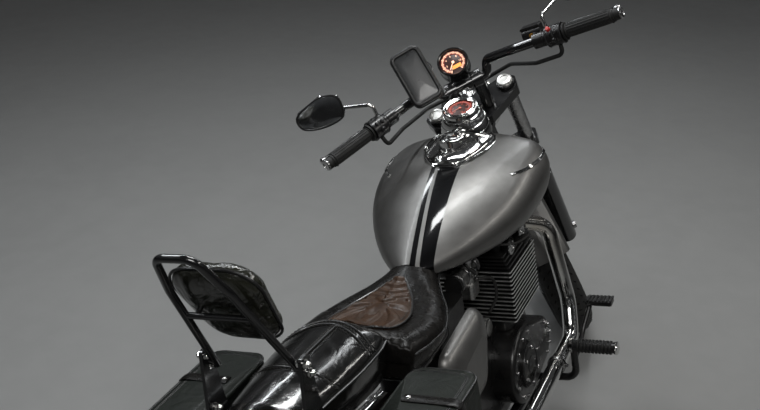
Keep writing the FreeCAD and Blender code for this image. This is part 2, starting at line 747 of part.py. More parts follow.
def engine_covers():
    """The clutch cover on the right, the generator and sprocket cover on the left."""
    half = CRANKCASE_HALF
    x = ENGINE_X
    clutch = round_cover([(x - 75, 318, 104), (x + 71, 306, 68)], -half, -half - 66, 13)
    clutch = clutch.fuse(across(x - 75, 318, -half - 66, -half - 74, 62))
    generator = round_cover([(x + 45, 312, 88), (x - 175, 318, 72)], half, half + 52, 13)
    generator = generator.fuse(across(x + 45, 312, half + 52, half + 60, 56))
    return [clutch, less(generator, chain_room(-10))]


def fin_outline(half_x, half_y, z, notch):
    """One fin of the twin: two rounded squares side by side with a notch between them, front and rear."""
    x = ENGINE_X
    edge = x + half_x
    front = [(edge, -half_y), (edge, -14), (edge - notch, 0), (edge, 14), (edge, half_y)]
    points = front + [(2 * x - px, -py) for px, py in front]
    return Part.Face(outline([(px, py, z) for px, py in points], 5.0))


def cylinders():
    """The twin's barrels with their cooling fins."""
    low = FIN_LOW - 4
    top = FIN_LOW + FIN_PITCH * (FIN_COUNT - 1) + FIN_THICK
    x = ENGINE_X
    core = block((x - BARREL_HALF_X, x + BARREL_HALF_X), (-BARREL_HALF_Y, BARREL_HALF_Y), (low, top), 24)
    fins = [fin_outline(FIN_HALF_X, FIN_HALF_Y, FIN_LOW + FIN_PITCH * i, 12).extrude(V(0, 0, FIN_THICK))
            for i in range(FIN_COUNT)]
    return joined([core] + fins)


def head_low():
    """Where the head sits on the barrels."""
    return FIN_LOW + FIN_PITCH * (FIN_COUNT - 1) + FIN_THICK


def port_x():
    return ENGINE_X + FIN_HALF_X + 10


def port_z():
    return head_low() + 24.5


def cylinder_head():
    """The head: a few deeper fins, the cam box with its end caps, and the exhaust and inlet stubs."""
    low = head_low()
    x = ENGINE_X
    z = port_z()
    core = block((x - BARREL_HALF_X, x + BARREL_HALF_X), (-BARREL_HALF_Y, BARREL_HALF_Y), (low, low + 42), 20)
    fins = []
    for i in range(HEAD_FIN_COUNT):
        fin = fin_outline(FIN_HALF_X - 2, FIN_HALF_Y - 4 - 4 * i, low + 7 + HEAD_FIN_PITCH * i, 12)
        fins.append(fin.extrude(V(0, 0, 5)))
    cam_box = block((x - 78, x + 78), (-134, 134), (low + 42, low + 68), 26)
    caps = [across(x + dx, low + 46, side * 134, side * 150, 24) for dx in (-44, 44) for side in (-1, 1)]
    stubs = []
    for side in (-1, 1):
        exhaust, inlet = side * PORT_HALF, side * INLET_HALF
        stubs.append(rod(V(x + BARREL_HALF_X - 6, exhaust, z), V(port_x(), exhaust, z), 24))
        stubs.append(rod(V(x - BARREL_HALF_X + 6, inlet, z), V(x - BARREL_HALF_X - 26, inlet, z), 24))
    return joined([core, cam_box] + fins + caps + stubs)


def intake():
    """Twin carburettors and the airbox block behind them."""
    x = ENGINE_X
    z = port_z()
    parts = []
    for side in (-1, 1):
        y = side * INLET_HALF
        parts += [
            rod(V(x - BARREL_HALF_X - 26, y, z), V(x - 240, y, z), 24),
            rod(V(x - 155, y, z - 52), V(x - 155, y, z + 40), 21),
            block((x - 183, x - 127), (y - 24, y + 24), (z - 66, z - 30), 9),
        ]
    parts.append(across(x - 175, z - 0.5, -INLET_HALF, INLET_HALF, 9))
    parts.append(block((x - 430, x - 235), (-88, 88), (430, 606), 20))
    parts.append(across(x - 385, 515, -COVER_INNER + 0.2, COVER_INNER - 0.2, 9))
    return joined(parts)


def side_covers():
    """A bulged cover on each side, under the seat."""
    rear = stage(430)
    sections = []
    for rise, inset, corner in ((0, 0, 34), (22, 4, 36), (36, 20, 34), (45, 44, 28)):
        y = COVER_INNER + rise
        sections.append(outline([
            (rear + inset, y, 420 + inset), (rear + 195 - inset, y, 430 + inset),
            (rear + 238 - inset, y, 628 - inset), (rear - 10 + inset, y, 606 - inset),
        ], corner))
    return both_sides(Part.makeLoft(sections, True, False))


# Exhaust

def header_points():
    return [
        (port_x(), -PORT_HALF, port_z()), (port_x() + 52, -PORT_HALF, port_z()), (port_x() + 143, -152, 570),
        (port_x() + 149, -188, 330), (port_x() + 91, -203, 246), (port_x() - 384, -213, 262),
    ]


def headers():
    """The two header pipes, out of the ports, down ahead of the engine and back under the pegs."""
    pipe = tube(header_points(), HEADER_RADIUS, [40, 70, 90, 60])
    port = V(*header_points()[0])
    collar = rod(port, port + V(10, 0, 0), 34)
    return both_sides(joined([pipe, collar]))


def silencers():
    """Tapered silencers with a slash-cut end."""
    start = V(*header_points()[-1])
    along = (start - V(*header_points()[-2])).normalize()
    length = SILENCER_LENGTH
    end = start + along * length
    r = SILENCER_RADIUS
    profile = [
        (0, 0), (HEADER_RADIUS + 4, 0), (HEADER_RADIUS + 6, 24), (r - 6, 120),
        (r, 190), (r, length - 160), (r - 5, length), (0, length),
    ]
    body = turned(profile, start, along)
    bore = rod(start + along * (length - 90), end + along * 5, r - 10)
    slash = Part.makeBox(240, 240, 200, V(-120, -120, 0))
    slash.Placement = FreeCAD.Placement(end + V(-2, 0, -56), FreeCAD.Rotation(V(0, 1, 0), -62))
    return both_sides(less(body, bore, slash))


# Bodywork

def fuel_tank():
    """The teardrop tank, with a tunnel under it for the backbone."""
    shell = pod(TANK_TABLE)
    front = stage(1300)
    room = [(stage(600), 560), (front, 560), (front, 836),
            (stage(1120), 790), (stage(660), 676), (stage(600), 660)]
    tunnel = plate(room, 0, -TANK_TUNNEL, TANK_TUNNEL)
    return shell.cut(tunnel)


def dial_axis():
    tilt = math.radians(DIAL_TILT)
    return V(-math.sin(tilt), 0, math.cos(tilt))


def tank_console():
    """The console on the tank: an oval base, the filler cap and the dial's bell, tilted to the rider."""
    base = pod(CONSOLE_TABLE)
    x, z = FILLER_SPOT
    r = FILLER_RADIUS
    cap = turned([(0, -10), (r, -10), (r, 12), (r - 4, 18), (0, 22)], V(stage(x), 0, z), V(0, 0, 1))
    spot = V(stage(DIAL_SPOT[0]), 0, DIAL_SPOT[1])
    axis = dial_axis()
    out = V(axis.z, 0, -axis.x)
    low, middle, high = [spot + out * r + axis * a for r, a in DIAL_BELL]
    rim = spot + out * DIAL_RADIUS
    foot = spot + axis * DIAL_BELL[0][1]
    face = Part.Face(Part.Wire([
        Part.LineSegment(foot, low).toShape(), Part.Arc(low, middle, high).toShape(),
        Part.LineSegment(high, rim).toShape(), Part.LineSegment(rim, spot).toShape(),
        Part.LineSegment(spot, foot).toShape(),
    ]))
    bell = face.revolve(spot, axis, 360)
    dish = rod(spot - axis * 4, spot + axis * 5, DIAL_RADIUS - 4)
    whole = joined([base, cap, bell]).cut(dish)
    return less(whole, fuel_tank())


def rider_seat():
    """The rider's seat: a wide dished pad that narrows to a nose against the tank."""
    return pod(SEAT_TABLE).cut(pod_clear(TANK_TABLE, SEAT_GAP))


def pod_clear(table, gap):
    """A body like pod's, larger all round by a gap."""
    return pod([(x, half + gap, wide, top + gap, shoulder + gap * 0.5, foot_half + gap, foot_z - gap)
                for x, half, wide, top, shoulder, foot_half, foot_z in table])


def pillion_seat():
    """The pillion's seat, its base cut to the fender's crown."""
    return less(pod(PILLION_TABLE), fender_crown())


def fender(centre, inner, half, skirt, start, sweep):
    """A fender turned about the wheel's axle: a crown with round shoulders and skirts, one sheet thick."""
    shoulder = FENDER_SHOULDER
    turn = shoulder * 0.3

    def side(rim, edge):
        crown = half - shoulder
        return [(inner - skirt, edge), (rim - shoulder, edge), (rim - turn, edge - turn), (rim, crown)]

    inside = side(inner, half)
    outside = side(inner + SHEET, half + SHEET)
    profile = inside + [(inner + FENDER_CROWN, 0)] + [(r, -y) for r, y in reversed(inside)]
    profile += [(r, -y) for r, y in outside] + [(inner + SHEET + FENDER_CROWN, 0)] + outside[::-1]
    shell = turned(profile, centre, V(0, -1, 0), sweep)
    shell.rotate(centre, V(0, -1, 0), start)
    return shell


def rear_fender():
    return fender(REAR_AXLE, REAR_FENDER_INNER, REAR_FENDER_HALF, REAR_FENDER_SKIRT, 58, 128)


def front_fender():
    """The front fender and the stays that hold it to the fork sliders."""
    shell = fender(FRONT_AXLE, FRONT_FENDER_INNER, FRONT_FENDER_HALF, FRONT_FENDER_SKIRT, 52, 118)
    seats = []
    stay = fork_point(axle_along() + 314, axle_ahead())
    for side in (-1, 1):
        reach = LEG_HALF - SLIDER_RADIUS - 0.2
        seats.append(across(stay.x, stay.z, side * (FRONT_FENDER_HALF + 1), side * reach, 10))
    return joined([shell] + seats)


def fender_crown():
    """The solid that fills the rear fender and a seat's clearance over it."""
    return across(REAR_AXLE.x, REAR_AXLE.z, -200, 200, REAR_FENDER_INNER + SHEET + FENDER_CROWN + SEAT_GAP)


def rear_lamps():
    """Tail lamp and a blank plate on the fender's crown, and an indicator on a stalk each side."""
    lamp = rod(V(-300, 0, 508), V(-372, 0, 512), 44)
    skirt = REAR_FENDER_HALF + SHEET
    foot = across(-205, 556, skirt + 0.2, skirt + 8, 12)
    stem = rod(V(-205, skirt + 5, 556), V(-232, 210, 604), 7)
    bullet = rod(V(-262, 214, 604), V(-196, 214, 604), 26)
    sheet = block((-384, -380), (-100, 100), (296, 424))
    bracket = block((-382, -300), (-28, 28), (384, 398))
    crown = fender_crown()
    return [lamp.cut(crown), joined([sheet, bracket]).cut(crown)] + both_sides(joined([foot, stem, bullet]))


# Backrest and bags

def sissy_bar():
    """The backrest's tube arch on two side plates beside the fender, with a bar and pegs for the cushion."""
    (foot_x, foot_z), (top_x, top_z) = SISSY_FOOT, SISSY_TOP
    bend, bend_half = SISSY_BEND
    outer = SEAT_RAIL_HALF - SEAT_RAIL_RADIUS - 0.3

    def on_bar(share, y):
        return (foot_x + (top_x - foot_x) * share, y, foot_z + (top_z - foot_z) * share)

    arch = tube([
        on_bar(-0.05, SISSY_HALF), on_bar(bend, bend_half), on_bar(1.0, SISSY_CROWN),
        on_bar(1.0, -SISSY_CROWN), on_bar(bend, -bend_half), on_bar(-0.05, -SISSY_HALF),
    ], SISSY_RADIUS, [90, 26, 26, 90])
    corners = [(22, 640), (-58, 640), (-52, 760), (-34, 872), (-6, 874), (2, 760)]
    side = plate(corners, 7, outer - SISSY_PLATE, outer)
    cheeks = [across(foot_x, foot_z, end * (SISSY_HALF - 4), end * (outer - 1), 9) for end in (-1, 1)]
    back_x, centre_z = BACKREST_MIDDLE
    share = 0.47
    y_bar = SISSY_HALF + (bend_half - SISSY_HALF) * share / bend
    bar = V(*on_bar(share, 0))
    tilt = math.radians(BACKREST_TILT)
    out = V(math.cos(tilt), 0, math.sin(tilt))
    reach = (V(back_x, 0, centre_z) - bar).dot(out) - 0.2
    holders = [across(bar.x, bar.z, -y_bar, y_bar, 6)]
    for y in (-45, 45):
        holders.append(rod(bar + V(0, y, 0), bar + V(0, y, 0) + out * reach, 5))
    return joined([arch] + both_sides(side) + cheeks + holders)


def backrest_pad():
    """The backrest's cushion: a flat back with rounded edges and a bulged front, leaned back."""
    back_x, centre_z = BACKREST_MIDDLE
    half, tall = BACKREST_HALF
    sections = []
    for depth, inset, corner in ((0, 10, 34), (0.2, 1, 42), (0.55, 2, 44), (0.85, 14, 48), (1.0, 34, 40)):
        w, h = half - inset, tall - inset
        x = back_x + depth * BACKREST_THICK
        sections.append(outline([(x, -w, centre_z + h), (x, w, centre_z + h), (x, w * 0.88, centre_z - h),
                                 (x, -w * 0.88, centre_z - h)], corner))
    pad = Part.makeLoft(sections, True, False)
    pad.rotate(V(back_x, 0, centre_z), V(0, 1, 0), -BACKREST_TILT)
    return pad


def bag_ring(z, inset, corner):
    """A level section of the left bag."""
    return outline([
        (BAG_REAR + inset, BAG_INNER + inset, z), (BAG_FRONT - inset, BAG_INNER + inset, z),
        (BAG_FRONT - inset, BAG_OUTER - inset, z), (BAG_REAR + inset, BAG_OUTER - inset, z),
    ], corner)


def saddlebag_left():
    """A leather bag, open at the top, its walls one thickness all round."""
    wall = BAG_WALL
    upper = BAG_CORNER + 6
    outer = Part.makeLoft([
        bag_ring(BAG_LOW, 16, BAG_CORNER), bag_ring(BAG_LOW + 34, 2, upper),
        bag_ring(BAG_LOW + 170, 0, upper), bag_ring(BAG_TOP, 0, upper),
    ], True, True)
    inner = Part.makeLoft([
        bag_ring(BAG_LOW + wall, 16 + wall, BAG_CORNER - wall),
        bag_ring(BAG_LOW + 34, 2 + wall, upper - wall),
        bag_ring(BAG_LOW + 170, wall, upper - wall), bag_ring(BAG_TOP, wall, upper - wall),
    ], True, True)
    return outer.cut(inner)


def hinge_line():
    """The left lid's hinge axis, in (y, z)."""
    return BAG_INNER - HINGE_OUT, BAG_TOP + SEAT_GAP + LID_THICK / 2


def lid_left():
    """The bag's lid: a flat top, a rim at each end, a long flap outside and a rolled hinge inside."""
    low = BAG_TOP + SEAT_GAP
    thick = LID_THICK
    hinge_y, hinge_z = hinge_line()

    def ring(extra, y_in, corner):
        z = low - LID_SKIRT
        rear, front, side = BAG_REAR - extra, BAG_FRONT + extra, BAG_OUTER + extra
        return outline([(rear, y_in, z), (front, y_in, z), (front, side, z), (rear, side, z)], corner)

    cap = Part.Face(ring(LID_GAP + thick, hinge_y, BAG_CORNER)).extrude(V(0, 0, LID_SKIRT + thick))
    hollow = Part.Face(ring(LID_GAP, hinge_y - 10, BAG_CORNER - 2)).extrude(V(0, 0, LID_SKIRT))
    edge = BAG_OUTER + LID_GAP
    flap = Part.Face(outline([
        (BAG_REAR + 30, edge, low), (BAG_FRONT - 30, edge, low), (BAG_FRONT - 50, edge, low - LID_FLAP),
        (BAG_REAR + 50, edge, low - LID_FLAP),
    ], 20)).extrude(V(0, thick, 0))
    roll = rod(V(BAG_REAR + 40, hinge_y, hinge_z), V(BAG_FRONT - 40, hinge_y, hinge_z), HINGE_RADIUS)
    return joined([cap.cut(hollow), flap, roll])


# Controls, chain and stand

def footpegs():
    """Forward pegs on brackets from the cradle, and small pillion pegs."""
    x, z, arm_y = PEG_X, PEG_Z, PEG_ARM_Y
    rail_side = CRADLE_HALF + CRADLE_RADIUS + 0.2
    arm = tube([(x, rail_side, CRADLE_LOW), (x, arm_y, CRADLE_LOW + 6), (x, arm_y, z)], PEG_ARM_RADIUS, 30)
    front = joined([arm, across(x, z, arm_y - 12, arm_y + 2, 18), across(x, z, arm_y - 2, arm_y + 112, 15),
                    across(x, z, arm_y + 112, arm_y + 116, 17)])
    rail_end = V(stage(345), SEAT_RAIL_HALF, RAIL_Z - 2)
    upright = rod(V(PIVOT_X, CRADLE_HALF, PIVOT_Z), rail_end, CRADLE_RADIUS + 0.2)
    hanger = rod(V(PIVOT_X - 20, 128, 400), V(PIVOT_X - 34, 200, 372), 9).cut(upright)
    hanger = max(hanger.Solids, key=lambda solid: solid.CenterOfMass.y)
    rear = joined([across(PIVOT_X - 34, 372, 196, 276, 14), hanger])
    return both_sides(front) + both_sides(rear)


def foot_controls():
    """The brake pedal on the right and the gear lever on the left."""
    arm = tube([
        (PEG_X + PEG_ARM_RADIUS + 0.2, PEG_ARM_Y, 256), (PEG_X + 40, PEG_ARM_Y, 256),
        (PEG_X + 84, PEG_ARM_Y + 4, 292), (PEG_X + 138, PEG_ARM_Y + 18, 352),
    ], 7, [30, 60])
    pad = block((PEG_X + 118, PEG_X + 158), (PEG_ARM_Y + 8, PEG_ARM_Y + 82), (356, 368), 5)
    toe = across(PEG_X + 138, 354, PEG_ARM_Y + 6, PEG_ARM_Y + 78, 11)
    return [mirrored(joined([arm, pad])), joined([arm, toe])]


def chain():
    """The drive chain's loop, from the gearbox sprocket to the rear one."""
    front = V(CHAIN_FRONT[0], CHAIN_Y[0], CHAIN_FRONT[1])
    rear = V(REAR_AXLE.x, CHAIN_Y[0], REAR_AXLE.z)
    rear_r = SPROCKET_RADIUS + SEAT_GAP
    front_r = FRONT_SPROCKET

    def loop(extra):
        span = front.x - rear.x
        lean = math.atan2(front.z - rear.z, span)
        spread = math.acos((rear_r - front_r) / span)
        r0 = rear_r + extra
        r1 = front_r + extra

        def around(centre, radius, angle):
            return centre + V(radius * math.cos(angle), 0, radius * math.sin(angle))

        up, down = lean + spread, lean - spread
        top = [around(rear, r0, up), around(front, r1, up)]
        bottom = [around(front, r1, down), around(rear, r0, down)]
        nose, tail = around(front, r1, lean), around(rear, r0, lean + math.pi)
        edges = [
            Part.LineSegment(top[0], top[1]).toShape(), Part.Arc(top[1], nose, bottom[0]).toShape(),
            Part.LineSegment(bottom[0], bottom[1]).toShape(), Part.Arc(bottom[1], tail, top[0]).toShape(),
        ]
        return Part.Face(Part.Wire(edges)).extrude(V(0, CHAIN_Y[1] - CHAIN_Y[0], 0))

    return loop(CHAIN_DEPTH).cut(loop(0))


def chain_guard():
    """The guard over the chain's top run."""
    guard = plate([(40, 462), (360, 430), (360, 414), (330, 404), (60, 440), (20, 450)], 4, 112, 115)
    strap = plate([(188, 336), (212, 336), (212, 440), (188, 440)], 4, 112, 115)
    return joined([guard, strap, across(200, 342, 114, ARM_INNER - 0.2, 8)])


def rear_caliper():
    """The caliper over the disc's front upper edge, stayed to the swingarm."""
    y = -REAR_HUB_RIGHT - DISC_THICK / 2
    r = REAR_DISC_RADIUS
    half = DISC_THICK / 2 + 2
    x, z = REAR_AXLE.x, REAR_AXLE.z
    body = block((x + r - 44, x + r + 14), (y - 18, y + 20), (z - 32, z + 32), 6)
    body = body.cut(block((x + r - 60, x + r + SWING_GAP), (y - half, y + half), (z - 60, z + 60)))
    body.rotate(REAR_AXLE, V(0, 1, 0), -44)
    stay = plate([(92, 408), (120, 424), (150, 344), (122, 338)], 5, y - 22, y - 17)
    return joined([body, stay, across(136, 350, -ARM_INNER + 0.2, y - 18, 9)])


def stand_pivot():
    return V(*STAND_PIVOT)


def stand_foot():
    """Where the foot's middle meets the floor, found in the leaned bike's own frame."""
    place = parked_placement()
    back = place.inverse()
    low = 0.0
    high = 200.0
    for _ in range(40):
        mid = (low + high) / 2
        if place.multVec(V(STAND_FOOT_X, STAND_FOOT_Y, mid)).z > 0:
            high = mid
        else:
            low = mid
    return V(STAND_FOOT_X, STAND_FOOT_Y, mid)


def stand_swing():
    """The stand's axis, and the angle from parked to folded, from its two directions."""
    down = (stand_foot() - stand_pivot()).normalize()
    folded = V(*STAND_FOLDED).normalize()
    axis = down.cross(folded).normalize()
    return axis, math.degrees(down.getAngle(folded))


def side_stand():
    """The leg from its pivot boss to a flat foot on the floor."""
    place = parked_placement()
    pivot = stand_pivot()
    foot = stand_foot()
    axis, _ = stand_swing()
    up = place.inverse().Rotation.multVec(V(0, 0, 1))
    along = (foot - pivot).normalize()
    leg = rod(pivot, foot + up * 8, STAND_RADIUS)
    boss = rod(pivot - axis * 12, pivot + axis * 12, 19)
    pad = Part.makeCylinder(28, 8, foot, up)
    whole = joined([leg, boss, pad])
    bore = rod(pivot - axis * 30, pivot + axis * 30, 8 + PIN_GAP)
    return whole.cut(bore)


def stand_bracket():
    """The boss on the left lower rail, with the pin and its head that carry the stand."""
    pivot = stand_pivot()
    axis, _ = stand_swing()
    base = rod(pivot - axis * 30, pivot - axis * 12.5, 19)
    bolt = rod(pivot - axis * 30, pivot + axis * 18, 8)
    return [base, bolt, rod(pivot + axis * 12.5, pivot + axis * 18, 15)]


# Fork and cockpit

def legs(s_from, s_to, radius):
    ahead = axle_ahead()
    return [rod(fork_point(s_from, ahead, side * LEG_HALF), fork_point(s_to, ahead, side * LEG_HALF), radius)
            for side in (-1, 1)]


def slider_top():
    return axle_along() + SLIDER_LENGTH


def fork_tubes():
    """The stanchions with their top caps."""
    top = YOKE_HIGH + YOKE_THICK
    tubes = legs(slider_top(), top + 4, STANCHION_RADIUS)
    caps = legs(top + 4, LEG_TOP + 2, STANCHION_RADIUS + 3)
    return [joined([a, b]) for a, b in zip(tubes, caps)]


def fork_sliders():
    """The lower legs, with dust seals and the axle's lugs."""
    low = axle_along() - SLIDER_DROP
    bodies = legs(low, slider_top() - 14, SLIDER_RADIUS)
    seals = legs(slider_top() - 14, slider_top(), SLIDER_RADIUS - 4)
    hole = across(FRONT_AXLE.x, FRONT_AXLE.z, -200, 200, AXLE_RADIUS + 0.1)
    return [joined([a, b]).cut(hole) for a, b in zip(bodies, seals)]


def yoke(s, back):
    """One yoke: a plate from the stem out to both legs. back is how far it reaches behind the legs."""
    ahead = axle_ahead()
    half = [
        (ahead + 20, 0), (ahead + 34, LEG_HALF + 10), (ahead + 12, LEG_HALF + 33),
        (ahead - back, LEG_HALF + 24), (-34, 30),
    ]
    corners = half + [(e, -y) for e, y in reversed(half[1:])]
    places = [fork_point(s, e, y) for e, y in corners]
    edge = outline([(p.x, p.y, p.z) for p in places], 10)
    plate_solid = Part.Face(edge).extrude(steer_axis()[1] * YOKE_THICK)
    return less(plate_solid, *legs(s - 5, s + YOKE_THICK + 5, STANCHION_RADIUS + 0.1))


def lower_yoke():
    return yoke(YOKE_LOW, 22)


def yokes():
    """Both yokes on the steering stem, with the handlebar's risers."""
    top = YOKE_HIGH + YOKE_THICK
    stem = rod(fork_point(YOKE_LOW + 10, 0), fork_point(top + 10, 0), STEM_RADIUS)
    nut = rod(fork_point(top, 0), fork_point(top + 14, 0), 22)
    spacer = rod(fork_point(HEAD_HIGH + 2, 0), fork_point(YOKE_HIGH, 0), 24)
    bar_x, bar_z = BAR_CENTRE
    risers = []
    for side in (-1, 1):
        y = side * RISER_HALF
        seat = V(bar_x, y, bar_z)
        risers.append(rod(fork_point(top - 2, 12, y), seat, RISER_WIDTH / 2 + 3))
        risers.append(across(bar_x, bar_z, y - RISER_WIDTH / 2, y + RISER_WIDTH / 2, 24))
    whole = joined([lower_yoke(), yoke(YOKE_HIGH, 30), stem, nut, spacer] + risers)
    return whole.cut(across(bar_x, bar_z, -200, 200, BAR_RADIUS + 0.1))


def bar_points():
    """The handlebar's line on the left: clamp, rise, knee, then the grip's two ends and its direction."""
    bar_x, bar_z = BAR_CENTRE
    inner = V(*GRIP_INNER)
    outer = V(*GRIP_OUTER)
    along = (outer - inner).normalize()
    clamp = V(bar_x, RISER_HALF + 30, bar_z)
    rise = V(bar_x - 8, clamp.y + 14, BAR_SHOULDER)
    return clamp, rise, inner - along * 150, inner, outer, along


def bar_tube(radius):
    """The handlebar's bent tube, or the room that it takes in what clamps to it."""
    clamp, rise, knee, _, outer, _ = bar_points()
    half = [clamp, rise, knee, outer]
    points = [(p.x, p.y, p.z) for p in reversed(half)] + [(p.x, -p.y, p.z) for p in half]
    return tube(points, radius, [60, 22, 18, 18, 22, 60])


def handlebar():
    """One bent tube through both risers."""
    return bar_tube(BAR_RADIUS)


def grips():
    """Rubber grips with end weights, bored for the bar."""
    _, _, _, inner, outer, along = bar_points()
    grip = rod(inner, outer, GRIP_RADIUS)
    flange = rod(inner, inner + along * 5, GRIP_RADIUS + 6)
    weight = rod(outer, outer + along * 16, 15)
    whole = joined([grip, flange, weight]).cut(rod(inner - along * 20, outer, BAR_RADIUS + 0.1))
    return both_sides(whole)


def hand_controls():
    """Switch housings, lever perches, levers and the front brake's reservoir."""
    _, _, _, inner, outer, along = bar_points()
    ahead = V(along.y, -along.x, 0).normalize()
    up = V(0, 0, 1)
    hinge = inner - along * 62 + ahead * 48
    bend, tip = inner + along * 4 + ahead * 66, outer - along * 8 + ahead * 58
    lever = tube([tuple(hinge), tuple(bend), tuple(tip)], 6, 60)
    shared = [
        rod(inner - along * 46, inner - along * 2, SWITCH_RADIUS),
        rod(inner - along * 84, inner - along * 56, 20),
        rod(inner - along * 60, inner - along * 40, 18), rod(inner - along * 70, hinge, 12),
        rod(hinge - up * 10, hinge + up * 10, 13), lever,
    ]
    pot = inner - along * 92 + ahead * 36 + up * 14
    brake = [rod(pot - along * 26, pot + along * 26, 20), rod(inner - along * 70, pot, 12)]
    bore = rod(inner - along * 130, inner + along * 5, BAR_RADIUS + 0.1)
    return [joined(shared).cut(bore), mirrored(joined(shared + brake).cut(bore))]


def mirrors():
    """A teardrop mirror on a bent stem on each side."""
    _, _, _, inner, _, along = bar_points()
    foot = inner - along * 40 + V(0, 0, SWITCH_RADIUS + 0.2)
    centre = V(*MIRROR_CENTRE)
    x, y, z = centre
    bends = [(foot.x, foot.y, foot.z + 30), (x + 12, y - 60, z - 18)]
    stem = tube([tuple(foot)] + bends + [(x + 12, y - 30, z - 8)], 5, [14, 20])
    sections = []
    for depth, share in ((0, 0.93), (9, 1.0), (22, 0.84)):
        points = [(x + depth, y + u * share, z + w * share) for u, w in MIRROR_OUTLINE]
        sections.append(outline(points, 12 * share))
    return both_sides(joined([Part.makeLoft(sections, True, True), stem]))


def headlamp():
    """The headlamp's bowl with its rim, on a bracket from the lower yoke."""
    spot = fork_point(*HEADLAMP)
    r = HEADLAMP_RADIUS
    bowl = turned([(0, -100), (38, -92), (66, -66), (82, -30), (r, 0), (r, 18), (0, 26)], spot, V(1, 0, 0))
    bracket = rod(spot + V(-60, 0, -40), fork_point(YOKE_LOW + YOKE_THICK / 2, axle_ahead() + 20), 12)
    return less(joined([bowl, bracket]), lower_yoke())


def bar_clamp(start, end):
    """A clamp around the bar from start to end, and the bore that takes the bar."""
    along = (end - start).normalize()
    return rod(start, end, BAR_RADIUS + 7), rod(start - along * 9, end + along * 9, BAR_RADIUS + 0.1)


def speedometer():
    """The small round instrument above the handlebar clamp, on its bracket."""
    tilt = math.radians(METER_TILT)
    face = V(-math.cos(tilt), 0, math.sin(tilt))
    spot = V(METER_CENTRE[0], 0, METER_CENTRE[1])
    can = rod(spot - face * 40, spot + face * 8, METER_RADIUS)
    dish = rod(spot + face * 3, spot + face * 12, METER_RADIUS - 5)
    foot = V(BAR_CENTRE[0], 0, BAR_CENTRE[1])
    bracket = rod(spot - face * 30, foot + V(6, -13, 16), 7)
    clamp, bore = bar_clamp(foot - V(0, 20, 0), foot - V(0, 6, 0))
    return less(joined([can, bracket, clamp]), dish, bore)


def phone_holder():
    """A weatherproof case for a phone or navigator, on an arm clamped to the bar's left rise."""
    half, tall = PHONE_HALF
    tilt = math.radians(PHONE_TILT)
    face = V(-math.cos(tilt), 0, math.sin(tilt))
    upright = V(math.sin(tilt), 0, math.cos(tilt))
    corners = ((-1, -1), (1, -1), (1, 1), (-1, 1))
    edge = Part.Face(outline([(x * half, y * tall, 0) for x, y in corners], 18))
    case = edge.extrude(V(0, 0, -PHONE_THICK))
    window = Part.Face(outline([(x * (half - 8), y * (tall - 10), 0) for x, y in corners], 10))
    case = case.cut(window.extrude(V(0, 0, -2)))
    turn = FreeCAD.Rotation(V(0, -1, 0), upright, face, "ZYX")
    centre = V(*PHONE_CENTRE)
    case.Placement = FreeCAD.Placement(centre, turn.multiply(FreeCAD.Rotation(V(0, 0, 1), PHONE_ROLL)))
    _, rise, knee, _, _, _ = bar_points()
    along = (knee - rise).normalize()
    middle = (rise + knee) * 0.5
    clamp, _ = bar_clamp(middle - along * 9, middle + along * 9)
    arm = rod(middle + V(-10, 0, 12), centre - face * (PHONE_THICK - 4) - upright * 34, 8)
    return less(joined([case, clamp, arm]), bar_tube(BAR_RADIUS + 0.1))


def front_caliper():
    """The caliper behind the left slider, on a bar to its boss."""
    r = FRONT_DISC_RADIUS
    x, z = FRONT_AXLE.x, FRONT_AXLE.z
    y = FRONT_HUB_HALF + DISC_THICK / 2
    half = DISC_THICK / 2 + 2
    body = block((x + r - 44, x + r + 16), (y - 19, y + 19), (z - 34, z + 34), 6)
    body = body.cut(block((x + r - 60, x + r + SWING_GAP), (y - half, y + half), (z - 70, z + 70)))
    turn = math.radians(90 + RAKE + 28)
    body.rotate(FRONT_AXLE, V(0, 1, 0), -math.degrees(turn))
    boss = fork_point(axle_along() + 118, axle_ahead())
    middle = FRONT_AXLE + V(math.cos(turn), 0, math.sin(turn)) * (r - 14)
    link = rod(V(boss.x, y + 14.5, boss.z), V(middle.x, y + 14.5, middle.z), 6)
    return joined([body, link, across(boss.x, boss.z, y + 6, LEG_HALF - SLIDER_RADIUS - 0.2, 12)])


def cables():
    """The loom and the brake hose, from the switches under the bar to the headlamp."""
    _, _, _, inner, _, along = bar_points()
    start = inner - along * 24 - V(0, 0, SWITCH_RADIUS + 0.8)
    front = WHEELBASE
    loom = tube([
        tuple(start), (start.x, start.y - 4, start.z - 26), (front - 520, 200, 986), (front - 400, 118, 978),
        (front - 345, 58, 966), (front - 300, 20, 900),
    ], 5.5, [16, 40, 40, 30])
    hose = tube([
        (start.x, -start.y, start.z), (start.x, -start.y + 4, start.z - 26), (front - 560, -186, 986),
        (front - 410, -140, 984), (front - 345, -58, 966), (front - 300, -20, 900),
    ], 5.5, [16, 30, 40, 30])
    lamp = headlamp()
    return [less(loom, lamp), less(hose, lamp)]


